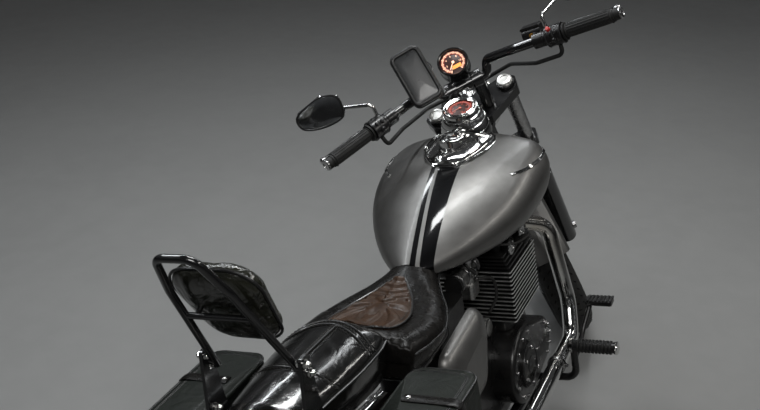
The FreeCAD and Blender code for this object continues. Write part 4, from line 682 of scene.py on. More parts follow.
def smooth_path(points: Iterable[Point], steps: int = 8, closed: bool = False) -> list[Vector]:
    """A curve through points, of any dimension, with a few steps between each two.

    Args:
        points: The points that it goes through.
        steps: The steps between each two.
        closed: Whether it comes back to its start.

    Returns:
        The curve's points.
    """
    knots = [Vector(point) for point in points]
    if closed:
        count = len(knots)
        knots = [knots[-1], *knots, *knots[:2]]
    else:
        count = len(knots) - 1
        knots = [knots[0], *knots, knots[-1]]
    path = [curve_at(knots[i : i + 4], step / steps) for i in range(count) for step in range(steps)]
    return path if closed else path + [knots[-1].copy()]


@dataclass
class Form:
    """A mesh under construction, in millimetres."""

    points: list[Vector] = field(default_factory=list)
    faces: list[tuple[int, ...]] = field(default_factory=list)

    def loft(self, rings: Sequence[Sequence[Point]], ends: bool = True, closed: bool = False) -> "Form":
        """Adds a skin over closed rings of one count.

        Args:
            rings: The rings.
            ends: Whether the two ends are shut.
            closed: Whether the last ring is joined to the first, in place of the ends.

        Returns:
            The form itself.
        """
        base, count, many = len(self.points), len(rings[0]), len(rings)
        for ring in rings:
            self.points.extend(Vector(point) for point in ring)
        for i in range(many if closed else many - 1):
            a, b = base + i * count, base + ((i + 1) % many) * count
            for j in range(count):
                k = (j + 1) % count
                self.faces.append((a + j, a + k, b + k, b + j))
        if ends and not closed:
            for start, ring in ((base, rings[0]), (base + (many - 1) * count, rings[-1])):
                self.points.append(middle_of(ring))
                hub = len(self.points) - 1
                self.faces.extend((start + j, start + (j + 1) % count, hub) for j in range(count))
        return self

    def turned(
        self, profile: Sequence[Point], centre: Point = ORIGIN, axis: Point = UP, steps: int = 32
    ) -> "Form":
        """Adds a body turned about an axis. profile is in (radius, along).

        Args:
            profile: Its outline, as pairs of radius and height.
            centre: Where its height is 0.
            axis: Its axis.
            steps: How many sides it has.

        Returns:
            The form itself.
        """
        along = unit(axis)
        return self.loft([
            hoop(Vector(centre) + along * height, along, max(radius, 0.02), steps)
            for radius, height in profile
        ])

    def pipe(self, path: Sequence[Point], radius: float, steps: int = 10, closed: bool = False) -> "Form":
        """Adds a round cord along a path, its ends softened.

        Args:
            path: The middle line.
            radius: The cord's radius.
            steps: How many sides it has.
            closed: Whether it is a ring.

        Returns:
            The form itself.
        """
        line = [Vector(point) for point in path]
        last = len(line) - 1
        heads = []
        for i in range(last + 1):
            before = line[i - 1] if closed or i else line[0]
            after = line[(i + 1) % len(line)] if closed or i < last else line[-1]
            heads.append((after - before).normalized())
        side, _ = square(heads[0])
        rings = []
        for i, head in enumerate(heads):
            side = (side - head * side.dot(head)).normalized()
            up = head.cross(side)
            soft = 0.72 if not closed and i in (0, last) else 1.0
            rings.append([line[i] + swung(side, up, tau * k / steps) * radius * soft for k in range(steps)])
        if not closed:
            front, rear = (
                [line[i] + heads[i] * end * radius * 0.3 + (p - line[i]) * 0.6 for p in rings[i]]
                for i, end in ((0, -1), (-1, 1))
            )
            rings = [front, *rings, rear]
        return self.loft(rings, closed=closed)

    def hoop(self, centre: Point, axis: Vector, radius: float, thick: float, sides: int,
             steps: int = 28) -> "Form":
        """Adds a round cord along a circle."""
        return self.pipe(hoop(centre, axis, radius, steps), thick, sides, closed=True)

    def slab(self, outline: Sequence[Point], lift: Point, soft: float = 1.0) -> "Form":
        """Adds a plate: an outline raised by a vector, its upper edge softened.

        Args:
            outline: Its foot.
            lift: The vector to its top.
            soft: The width of the softened edge.

        Returns:
            The form itself.
        """
        ring = [Vector(point) for point in outline]
        rise = Vector(lift)
        middle = middle_of(ring)
        share = max(0.4, 1 - soft / max((p - middle).length for p in ring))
        lower = rise * max(0.0, 1 - soft / max(rise.length, 0.01))
        return self.loft([ring, [p + lower for p in ring],
                          [middle + (p - middle) * share + rise for p in ring]])

    def ribbon(self, path: Sequence[Point], ups: Sequence[Point], half: float, thick: float) -> "Form":
        """Adds a flat strap along a path: ups are its upward directions, and its upper edges are softened.

        Args:
            path: The middle of its underside.
            ups: Its upward direction at each point.
            half: Half its width.
            thick: Its thickness.

        Returns:
            The form itself.
        """
        line = [Vector(point) for point in path]
        edge = half - min(half * 0.3, thick)
        rings = []
        for i, (here, up) in enumerate(zip(line, ups)):
            head = (line[min(i + 1, len(line) - 1)] - line[max(i - 1, 0)]).normalized()
            top = unit(up)
            side = head.cross(top).normalized()
            rings.append([
                here - side * half, here + side * half, here + side * half + top * thick * 0.6,
                here + side * edge + top * thick, here - side * edge + top * thick,
                here - side * half + top * thick * 0.6,
            ])
        return self.loft(rings)

    def flipped(self) -> "Form":
        """The form's mirror across the motorcycle, by itself."""
        return Form([across(p) for p in self.points], [face[::-1] for face in self.faces])

    def mirrored(self) -> "Form":
        """Adds the form's own mirror across the motorcycle.

        Returns:
            The form itself.
        """
        twin, base = self.flipped(), len(self.points)
        self.points.extend(twin.points)
        self.faces.extend(tuple(base + i for i in face) for face in twin.faces)
        return self


def middle_of(points: Sequence[Point]) -> Vector:
    """The mean of points."""
    return sum((Vector(p) for p in points), Vector(ORIGIN)) / len(points)


def mesh_of(name: str, form: Form, place: Matrix, sharp: float = 35.0) -> bpy.types.Mesh:
    """A mesh of a form, set in the row frame, with its faces outwards.

    Args:
        name: The mesh's name.
        form: The form, in millimetres.
        place: From the form's frame, in metres, to the row frame.
        sharp: The angle past which edges are shaded sharp, in degrees.

    Returns:
        The mesh.
    """
    mesh = bpy.data.meshes.new(name)
    mesh.from_pydata([place @ (p * MM) for p in form.points], [], form.faces)
    build = bmesh.new()
    build.from_mesh(mesh)
    bmesh.ops.remove_doubles(build, verts=build.verts, dist=1e-6)
    bmesh.ops.recalc_face_normals(build, faces=build.faces)
    build.to_mesh(mesh)
    build.free()
    mesh.shade_smooth()
    mesh.set_sharp_from_angle(angle=radians(sharp))
    return mesh


def show(name: str, data: bpy.types.ID) -> bpy.types.Object:
    """A new object of some data, in the scene.

    Args:
        name: The object's name.
        data: Its mesh, text, lamp or camera.

    Returns:
        The object.
    """
    obj = bpy.data.objects.new(name, data)
    bpy.context.scene.collection.objects.link(obj)
    return obj


def evaluated(obj: bpy.types.Object) -> bpy.types.Mesh:
    """A new mesh of an object, as its modifiers leave it."""
    return bpy.data.meshes.new_from_object(obj.evaluated_get(bpy.context.evaluated_depsgraph_get()))


def piece(
    name: str, form: Form, finish: Finish, body: Body = Body.FRAME, sharp: float = 35.0
) -> bpy.types.Object:
    """Makes an object of a form, finishes it and lets it ride on a body.

    Args:
        name: The object's name.
        form: Its form, in the motorcycle's own frame.
        finish: Its finish.
        body: The body that it moves with.
        sharp: The angle past which edges are shaded sharp, in degrees.

    Returns:
        The object.
    """
    obj = show(name, mesh_of(name, form, rest(body), sharp))
    obj.data.materials.append(PALETTE.get(finish, body.steered))
    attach(obj, body.value)
    return obj


# Repeats, by Geometry Nodes


@dataclass(frozen=True)
class Spot:
    """A place for one copy: its point, its outward axis, a hint for its upward side, and its size."""

    point: Point
    axis: Point
    up: Point = (0.0, 0.0, 1.0)
    size: Point = (1.0, 1.0, 1.0)

    def flipped(self) -> "Spot":
        """The same place on the motorcycle's other side."""
        return Spot(across(self.point), across(self.axis), across(self.up), self.size)


class Repeater:
    """Sets copies of one small shape on many spots."""

    def __init__(self) -> None:
        """Makes the node group that all repeats share."""
        group = bpy.data.node_groups.new("repeat_on_points", "GeometryNodeTree")
        self.group = group
        self.keys: dict[str, str] = {}
        for label, kind in (("Geometry", "Geometry"), ("Pattern", "Object"), ("Finish", "Material")):
            socket = group.interface.new_socket(label, in_out="INPUT", socket_type="NodeSocket" + kind)
            self.keys[label] = socket.identifier
        group.interface.new_socket("Geometry", in_out="OUTPUT", socket_type="NodeSocketGeometry")
        add = Nodes(group)
        given, leave = add("NodeGroupInput").outputs, add("NodeGroupOutput")
        shape = add("GeometryNodeObjectInfo", {"Object": given["Pattern"]}).outputs["Geometry"]
        turn, size = (self.attribute(add, label) for label in ("turn", "size"))
        rotation = add("FunctionNodeEulerToRotation", {0: turn}).outputs[0]
        places = {"Points": given["Geometry"], "Instance": shape, "Rotation": rotation, "Scale": size}
        copies = add("GeometryNodeInstanceOnPoints", places).outputs["Instances"]
        real = add("GeometryNodeRealizeInstances", {"Geometry": copies}).outputs["Geometry"]
        paint = add("GeometryNodeSetMaterial", {"Geometry": real, "Material": given["Finish"]})
        add.fill(leave.inputs["Geometry"], paint.outputs["Geometry"])

    @staticmethod
    def attribute(add: Nodes, label: str) -> Socket:
        """A vector that each point carries."""
        node = add("GeometryNodeInputNamedAttribute", {"Name": label}, data_type="FLOAT_VECTOR")
        return next(socket for socket in node.outputs if socket.enabled and socket.name == "Attribute")

    def __call__(
        self, name: str, pattern: Form, spots: Sequence[Spot], finish: Finish, body: Body = Body.FRAME
    ) -> None:
        """Sets a pattern on spots, as one object.

        Args:
            name: The new object's name.
            pattern: The repeated form, standing on z = 0 with z outwards.
            spots: Where the copies go, in the motorcycle's own frame.
            finish: Their finish.
            body: The body that they move with.
        """
        place = rest(body)
        turned = place.to_3x3()
        mesh = bpy.data.meshes.new(name)
        mesh.from_pydata([place @ (Vector(spot.point) * MM) for spot in spots], [], [])
        turns = mesh.attributes.new("turn", "FLOAT_VECTOR", "POINT")
        sizes = mesh.attributes.new("size", "FLOAT_VECTOR", "POINT")
        for i, spot in enumerate(spots):
            axis = unit(spot.axis)
            side = Vector(spot.up).cross(axis)
            side = side.normalized() if side.length > 1e-4 else square(axis)[0]
            basis = Matrix((side, axis.cross(side), axis)).transposed()
            turns.data[i].vector = (turned @ basis).to_euler()
            sizes.data[i].vector = spot.size
        obj = show(name, mesh)
        shape = show(name + "_pattern", mesh_of(name + "_pattern", pattern, Matrix.Identity(4)))
        modifier = obj.modifiers.new("repeat", "NODES")
        modifier.node_group = self.group
        modifier[self.keys["Pattern"]] = shape
        modifier[self.keys["Finish"]] = PALETTE.get(finish, body.steered)
        bpy.context.view_layer.update()
        made = evaluated(obj)
        for label in ("turn", "size"):
            if label in made.attributes:
                made.attributes.remove(made.attributes[label])
        obj.modifiers.clear()
        obj.data = made
        bpy.data.objects.remove(shape)
        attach(obj, body.value)


REPEAT: Repeater


def hex_bolt(radius: float, height: float) -> Form:
    """A hexagon head on its washer, slightly domed.

    Args:
        radius: Its own radius, without a washer.
        height: Its height.

    Returns:
        The form, standing on z = 0.
    """
    washer = [(0, 0), (radius * 1.25, 0), (radius * 1.25, height * 0.22), (radius, height * 0.26)]
    head = [(radius, height * 0.2), (radius, height * 0.85), (radius * 0.8, height), (0, height)]
    return Form().turned(washer, steps=14).turned(head, steps=6)


def socket_bolt(radius: float, height: float) -> Form:
    """A round head with a hexagon socket.

    Args:
        radius: Its own radius, without a washer.
        height: Its height.

    Returns:
        The form, standing on z = 0.
    """
    profile = [(0, 0), (radius, 0), (radius, height * 0.8), (radius * 0.86, height), (radius * 0.5, height),
               (radius * 0.46, height * 0.4), (0, height * 0.4)]
    return Form().turned(profile, steps=12)


def acorn_nut(radius: float, height: float) -> Form:
    """A domed nut.

    Args:
        radius: Its own radius, without a washer.
        height: Its height.

    Returns:
        The form, standing on z = 0.
    """
    washer = [(0, 0), (radius * 1.3, 0), (radius * 1.3, height * 0.12), (radius, height * 0.14)]
    flats = [(radius, height * 0.1), (radius, height * 0.5), (radius * 0.85, height * 0.56)]
    dome = [(radius * 0.84, height * 0.5), (radius * 0.75, height * 0.78), (radius * 0.45, height * 0.95),
            (0, height)]
    return Form().turned(washer, steps=14).turned(flats, steps=6).turned(dome, steps=12)


def stud(radius: float) -> Form:
    """A low domed stud with a rim."""
    profile = ((0, 0), (1, 0), (1.02, 0.16), (0.8, 0.42), (0.42, 0.6), (0, 0.66))
    return Form().turned([(radius * out, radius * up) for out, up in profile], steps=14)


def stitch(length: float, radius: float) -> Form:
    """One stitch, lying along x, proud in its middle."""
    shares = ((-1, -1), (-0.6, 0.4), (0, 0.8), (0.6, 0.4), (1, -1))
    return Form().pipe([(length / 2 * along, 0, radius * up) for along, up in shares], radius, 5)


def circle_spots(centre: Point, axis: Point, radius: float, count: int, start: float = 0.0) -> list[Spot]:
    """Spots on a circle about an axis, all facing along it.

    Args:
        centre: The circle's centre.
        axis: Its axis.
        radius: Its radius.
        count: How many spots.
        start: The first one's angle.

    Returns:
        The spots.
    """
    along = unit(axis)
    side, up = square(along)
    outs = [swung(side, up, start + tau * i / count) for i in range(count)]
    return [Spot(Vector(centre) + out * radius, along, out) for out in outs]


def along_path(path: Sequence[Vector], up: Vector, gap: float) -> list[Spot]:
    """Spots at even steps along a path, facing up, their x along it.

    Args:
        path: The path's points.
        up: The direction that all spots face.
        gap: The distance between two spots.

    Returns:
        The spots.
    """
    spots, carried = [], gap / 2
    for a, b in zip(path, path[1:]):
        length = (b - a).length
        while carried < length:
            spots.append(Spot(a.lerp(b, carried / length), up, up.cross((b - a) / length)))
            carried += gap
        carried -= length
    return spots


# Body sections, as the part's source draws them


def section(row: Sequence[float], grow: float = 0.0) -> list[Vector]:
    """One section of a seat or tank: foot, side, shoulder, crown, and the other side.

    Args:
        row: x, half width, height of the widest line, top, shoulder, foot half width and foot height.
        grow: How far it is set out, negative for in.

    Returns:
        The section's points, from the left foot over the top to the right foot.
    """
    x, half, wide_z, top_z, shoulder, foot_half, foot_z = row
    half, top_z, foot_half = half + grow, top_z + grow, foot_half + grow
    a, rise = half - shoulder, top_z - wide_z
    crown = (a * a + rise * rise - shoulder * shoulder) / (2 * (rise - shoulder))
    crown_z = top_z - crown
    unit_y, unit_z = a / (crown - shoulder), (wide_z - crown_z) / (crown - shoulder)
    end = (crown * unit_y, crown_z + crown * unit_z)
    bulge = atan2(unit_z, unit_y) / 2
    middle = (a + shoulder * cos(bulge), wide_z + shoulder * sin(bulge))
    inset, drop = half - foot_half, wide_z - foot_z
    side = (inset * inset + drop * drop) / (2 * inset)
    bend = asin(min(1.0, drop / side))
    sweep = (bend if inset < drop else pi - bend) / 2
    side_middle = (half - side + side * cos(sweep), wide_z - side * sin(sweep))
    left = arc((foot_half, foot_z), side_middle, (half, wide_z), 9)[:-1]
    left += arc((half, wide_z), middle, end, 7)[:-1]
    left += arc(end, (0, top_z), (-end[0], end[1]), 24)[:13]
    ring = [Vector((x, p.x, p.y)) for p in left]
    return ring + [across(p) for p in reversed(ring[:-1])]


class Cushion:
    """A seat, pad or cover built on the source's table, finer and softer than the solid."""

    ENDS = 14.0
    STRAIGHT = 0.35

    def __init__(self, table: Sequence[Sequence[float]], step: float = 7.0) -> None:
        """Draws the fine rows between the table's rows.

        Args:
            table: The rows of the source, by rising x.
            step: About how far apart the fine rows are.
        """
        knots = [Vector(row) for row in table]
        knots = [knots[0], *knots, knots[-1]]
        self.rows: list[Vector] = []
        for i in range(len(table) - 1):
            before, after = knots[i + 1], knots[i + 2]
            count = max(2, round((table[i + 1][0] - table[i][0]) / step))
            for t in (s / count for s in range(count)):
                linear = before.lerp(after, t)
                row = curve_at(knots[i : i + 4], t).lerp(linear, self.STRAIGHT)
                row[0] = linear[0]
                self.rows.append(row)
        self.rows.append(knots[-1])

    def row_at(self, x: float) -> Vector:
        """The table's row at x, between the fine rows.

        Args:
            x: Where along the cushion.

        Returns:
            The row.
        """
        for a, b in zip(self.rows, self.rows[1:]):
            if x <= b[0]:
                return a.lerp(b, max(0.0, (x - a[0]) / max(1e-6, b[0] - a[0])))
        return self.rows[-1]

    def top(self, x: float, y: float) -> Vector:
        """The point of the cushion's upper side over (x, y).

        Args:
            x: Where along the cushion.
            y: Where across it.

        Returns:
            The point, or the nearest edge's where the cushion is narrower.
        """
        row = self.row_at(x)
        upper = [p for p in section(row) if p.z >= row[2] - 1]
        for a, b in zip(upper, upper[1:]):
            if b.y <= y <= a.y:
                return a.lerp(b, (a.y - y) / max(1e-6, a.y - b.y))
        return (upper[0] if y > 0 else upper[-1]).copy()

    def end(self, row: Vector, grow: float, sign: int) -> list[list[Vector]]:
        """The rings that draw one end in, from the widest.

        Args:
            row: The last row on that end.
            grow: How far it is set out.
            sign: 1 for the front end and -1 for the rear one.

        Returns:
            The rings.
        """
        ring = section(row, grow)
        middle = middle_of(ring)
        return [
            [middle + (p - middle) * share + AHEAD * (sign * self.ENDS * (depth - 0.97)) for p in ring]
            for depth, share in ((0.45, 0.97), (0.8, 0.88), (0.97, 0.7))
        ]

    def form(self, grow: float) -> Form:
        """The closed skin, set out by a distance, its ends drawn in round.

        Args:
            grow: How far it is set out, negative for in.

        Returns:
            The form.
        """
        rings = self.end(self.rows[0], grow, -1)[::-1]
        rings += [section(row, grow) for row in self.rows]
        rings += self.end(self.rows[-1], grow, 1)
        return Form().loft(sorted(rings, key=lambda ring: sum(p.x for p in ring)))


SWELL_FRAMES = 16


def plump(
    obj: bpy.types.Object, pinned: Callable[[Vector], bool], voxel: float, pressure: float, cap: float
) -> None:
    """Swells a cushion by a cloth simulation between its seams, and keeps the result in its mesh.

    Args:
        obj: The cushion, on the frame.
        pinned: Says whether a point, in the motorcycle's own frame in millimetres, is held.
        voxel: Size of the new mesh's cells in millimetres.
        pressure: Air pressure inside.
        cap: The furthest that a point may move, in millimetres.
    """
    remesh = obj.modifiers.new("remesh", "REMESH")
    remesh.mode, remesh.voxel_size = "VOXEL", voxel * MM
    bpy.context.view_layer.update()
    material = obj.data.materials[0]
    obj.data = evaluated(obj)
    obj.modifiers.clear()
    start = [v.co.copy() for v in obj.data.vertices]
    back = rest(Body.FRAME).inverted()
    held = obj.vertex_groups.new(name="held")
    held.add([i for i, co in enumerate(start) if pinned(back @ co / MM)], 1.0, "REPLACE")
    cloth = obj.modifiers.new("cloth", "CLOTH")
    cloth.settings.vertex_group_mass = "held"
    cloth.settings.use_pressure = True
    cloth.settings.uniform_pressure_force = pressure
    cloth.settings.effector_weights.gravity = 0
    cloth.settings.quality = 5
    cloth.settings.tension_stiffness = 9
    cloth.settings.compression_stiffness = 9
    cloth.settings.bending_stiffness = 0.4
    cloth.collision_settings.use_collision = False
    for frame in range(1, SWELL_FRAMES + 1):
        bpy.context.scene.frame_set(frame)
    mesh = evaluated(obj)
    for vertex, origin in zip(mesh.vertices, start):
        moved = vertex.co - origin
        if moved.length > cap * MM:
            moved = moved.normalized() * (cap * MM)
        vertex.co = origin + moved
    obj.modifiers.clear()
    obj.vertex_groups.clear()
    obj.data = mesh
    bpy.context.scene.frame_set(1)
    mesh.materials.clear()
    mesh.materials.append(material)
    mesh.shade_smooth()
    smooth = obj.modifiers.new("fine", "SUBSURF")
    smooth.levels = smooth.render_levels = 1


def near(path: Sequence[Vector], reach: float) -> Callable[[Vector], bool]:
    """A test of whether a point is within reach of a path's points."""
    return lambda point: any((point - p).length_squared < reach * reach for p in path)


# Seats


SEAT_TABLE = [
    (300, 150, 690, 752, 24, 128, 631.4), (360, 160, 682, 722, 22, 138, 631.2),
    (450, 160, 672, 706, 20, 132, 630.6), (540, 128, 670, 706, 20, 104, 638),
    (620, 84, 676, 722, 20, 66, 656), (672, 58, 690, 736, 18, 46, 672), (700, 40, 712, 743, 14, 32, 694),
]
PILLION_TABLE = [
    (-72, 56, 738, 766, 14, 40, 664), (-40, 82, 738, 782, 22, 60, 660), (30, 92, 736, 788, 26, 68, 656),
    (160, 106, 732, 787, 28, 80, 646), (250, 108, 730, 784, 26, 84, 640), (288, 102, 730, 776, 22, 82, 640),
]


@dataclass
class RiderSeat:
    """The rider's seat: black leather with a brown tooled panel, piped and stitched."""

    centre: float = 452.0
    front: float = 592.0
    rear: float = 322.0
    margin: float = 0.96
    ribs_ahead: float = 50.0
    rib_gap: float = 14.0
    rib_height: float = 5.6
    spine_height: float = 2.5
    oval: float = 26.0
    oval_height: float = 4.8
    lobe_height: float = 6.4
    panel_lift: float = 2.8
    panel_depth: float = 9.0

    def panel_half(self, x: float) -> float:
        """Half the panel's width at x.

        Args:
            x: Where along the seat.

        Returns:
            Half the width, 0 past the panel's ends.
        """
        share = (x - self.rear) / (self.front - self.rear)
        if not 0 <= share <= 1:
            return 0.0
        full = 36 + 76 * (1 - share) ** 0.75
        return full * sin(pi * min(1.0, 0.06 + share * 0.94)) ** 0.42

    def tooling(self, x: float, y: float) -> float:
        """The height of the tooled pattern: cross ribs ahead, an oval, and lobes that spread behind.

        Args:
            x: Where along the seat.
            y: Where across it.

        Returns:
            The height.
        """
        edge = abs(y) / max(1.0, self.panel_half(x))
        if edge > self.margin:
            return 0.0
        fade = min(1.0, (self.margin - edge) * 7)
        if x > self.centre + self.ribs_ahead:
            wave = cos(pi * (x - abs(y) * 0.45 - self.centre) / self.rib_gap * 1.1)
            spine = exp(-((y / 6) ** 2))
            return (self.rib_height * max(0.0, wave) ** 0.6 + self.spine_height * spine) * fade
        reach = hypot((x - self.centre) / 1.25, y)
        if reach < self.oval:
            return (self.oval_height * cos(reach / self.oval * pi / 2) + 1.0) * fade
        lobe = cos(atan2(abs(y), self.centre - x) * 7.6 + log(reach) * 4.2)
        return self.lobe_height * max(0.0, lobe) ** 0.5 * fade

    def build(self) -> None:
        """Makes the seat, its panel, seams and stitches."""
        pad = Cushion(SEAT_TABLE)
        left = [pad.top(x, self.panel_half(x)) for x in range(int(self.rear) + 2, int(self.front), 8)]
        border = left + [across(p) for p in reversed(left)]
        seat = piece("seat_leather", pad.form(-2.0), LEATHER)
        by_border = near(border, 8.0)
        plump(seat, lambda p: p.z < 668 or by_border(p) or p.x > 690, 6.0, 3.0, 6.0)
        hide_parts("rider_seat")
        self.panel(pad)
        path = [pad.top(p.x, p.y) + UP * 2.4 for p in border]
        piece("seat_piping", Form().pipe(path, 2.6, 8, closed=True), PIPING)
        inner = [pad.top(p.x, p.y * 0.9) + UP * 4.0 for p in border]
        REPEAT("seat_stitches", stitch(6.5, 0.9), along_path(inner, UP, 9.5), THREAD)
        self.skirt(pad)

    def panel(self, pad: Cushion) -> None:
        """The tooled panel, a closed sheet on the seat.

        Args:
            pad: The seat that it lies on.
        """
        columns, stations = 56, 110
        rows = []
        for i in range(stations + 1):
            x = self.rear + 1 + (self.front - self.rear - 2) * i / stations
            half = self.panel_half(x)
            places = [(x, half * (1 - 2 * k / columns)) for k in range(columns + 1)]
            upper = [pad.top(*place) + UP * (self.panel_lift + self.tooling(*place)) for place in places]
            lower = [p - UP * (self.panel_depth + self.tooling(p.x, p.y)) for p in reversed(upper)]
            rows.append(upper + lower)
        piece("seat_tooled_panel", Form().loft(rows), LEATHER_BROWN, sharp=60)

    def skirt(self, pad: Cushion) -> None:
        """The seam between the seat's top and its side, on both sides.

        Args:
            pad: The seat.
        """
        path = []
        for x in range(306, 690, 12):
            row = pad.row_at(x)
            path.append((x, row[1] - 0.6, row[2] + 1))
        form = Form().pipe(path, 2.4, 8).pipe([across(p) for p in path], 2.4, 8)
        piece("seat_edge_piping", form, PIPING)


class PillionSeat:
    """The pillion's seat: glossy vinyl in panels, with piped and stitched seams."""

    REAR = ((84, 96), (78, 50), (74, 0), (78, -50), (84, -96))
    SPINE = ((74, -12), (130, -14), (190, -16), (244, -18))
    FRONT = ((205, 104), (226, 70), (242, 34), (248, 0), (242, -34), (226, -70), (205, -104))
    FRONT_GAP = 19

    def build(self) -> None:
        """Makes the seat with its seams."""
        pad = Cushion(PILLION_TABLE)
        lines = (self.FRONT, [(x + self.FRONT_GAP, y) for x, y in self.FRONT], self.SPINE, self.REAR)
        seams = [smooth_path([pad.top(x, y) for x, y in line], 8) for line in lines]
        seat = piece("pillion_vinyl", pad.form(-3.0), VINYL)
        by_seams = near(sum(seams, []), 6.5)
        plump(seat, lambda p: p.z < 690 or by_seams(p), 5.0, 5.0, 8.0)
        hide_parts("pillion_seat")
        piping = Form()
        for path in seams:
            piping.pipe([p - UP * 1.2 for p in path], 2.3, 8)
        for side in (1, -1):
            path = [Vector((row[0], side * (row[1] - 1.2), row[2])) for row in pad.rows if row[0] > -60]
            piping.pipe(path, 2.6, 8)
        piece("pillion_piping", piping, PIPING)
        stitches: list[Spot] = []
        for path in seams:
            for shift in (-7.0, 7.0):
                stitches += along_path(self.beside(pad, path, shift), UP, 9.0)
        REPEAT("pillion_stitches", stitch(6.0, 0.8), stitches, THREAD)

    @staticmethod
    def beside(pad: Cushion, path: Sequence[Vector], shift: float) -> list[Vector]:
        """The line just under the pad's top, at a distance beside a seam.

        Args:
            pad: The seat.
            path: The seam.
            shift: The distance, to one side or the other.

        Returns:
            The line's points.
        """
        line = []
        for before, here, after in zip([path[0], *path], path, [*path[1:], path[-1]]):
            p = here + (after - before).normalized().cross(UP) * shift
            line.append(pad.top(p.x, p.y) - UP * 0.4)
        return line


# Backrest


@dataclass
class Backrest:
    """The backrest's glossy pad, its piping, and the acorn nuts of the bar's plates."""

    middle: Flat = (-64.0, 978.0)
    tilt: float = radians(27.5)
    half: float = 92.0
    tall: float = 102.0
    foot_share: float = 0.88

    def place(self, depth: float, y: float, up: float) -> Vector:
        """A point by its depth ahead of the pad's back, its side and its height.

        Args:
            depth: How far ahead of the pad's back.
            y: How far to the left.
            up: How far up the pad from its middle.

        Returns:
            The point.
        """
        x, z = self.middle
        out = Vector((cos(self.tilt), 0, sin(self.tilt)))
        rise = Vector((-sin(self.tilt), 0, cos(self.tilt)))
        return Vector((x, y, z)) + out * depth + rise * up

    def ring(self, depth: float, inset: float, corner: float) -> list[Vector]:
        """The pad's rounded outline at a depth, narrower at its foot.

        Args:
            depth: How far ahead of the pad's back.
            inset: How far it is set in.
            corner: The corners' radius.

        Returns:
            The outline's points.
        """
        w, h = self.half - inset, self.tall - inset
        foot = w * self.foot_share - corner
        centres = ((w - corner, h - corner), (corner - w, h - corner), (-foot, corner - h),
                   (foot, corner - h))
        return [self.place(depth, y, z) for quarter in quarters(centres, corner, 9) for y, z in quarter]

    def build(self) -> None:
        """Makes the pad and its trim."""
        layers = ((-6.0, 66, 14), (-5.5, 52, 26), (-4.4, 38, 36), (-2.0, 25, 43), (2.0, 14, 49), (7, 6.5, 53),
                  (14, 2, 56), (24, 1, 56), (34, 5, 54), (42, 16, 50), (46.5, 33, 42), (48, 58, 28))
        rings = [self.ring(depth, inset + 2, corner) for depth, inset, corner in layers]
        pad = piece("backrest_vinyl", Form().loft(rings), VINYL_WRINKLED)
        rim = self.ring(14, 1.5, 56)
        by_rim, by_tufts = near(rim, 6.0), near([self.place(-4, y, 0) for y in (-45, 45)], 13.0)
        plump(pad, lambda p: by_rim(p) or by_tufts(p), 5.0, 6.0, 6.0)
        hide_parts("backrest_pad")
        piece("backrest_piping", Form().pipe(rim, 2.8, 8, closed=True), PIPING)
        out = self.place(1, 0, 0) - self.place(0, 0, 0)
        buttons = [Spot(self.place(47.6, y, z), out) for y, z in ((-34, 28), (34, 28), (-30, -34), (30, -34))]
        REPEAT("backrest_buttons", stud(6.0), buttons, VINYL)
        nuts = [Spot((x, side * y, z), (0, side * way, 0)) for side in (1, -1)
                for x, z in ((-14, 704), (-30, 754), (-15, 838), (-24, 860))
                for y, way in ((107.0, 1), (99.5, -1))]
        REPEAT("sissy_nuts", acorn_nut(7.5, 13.0), nuts, CHROME)


# Bags


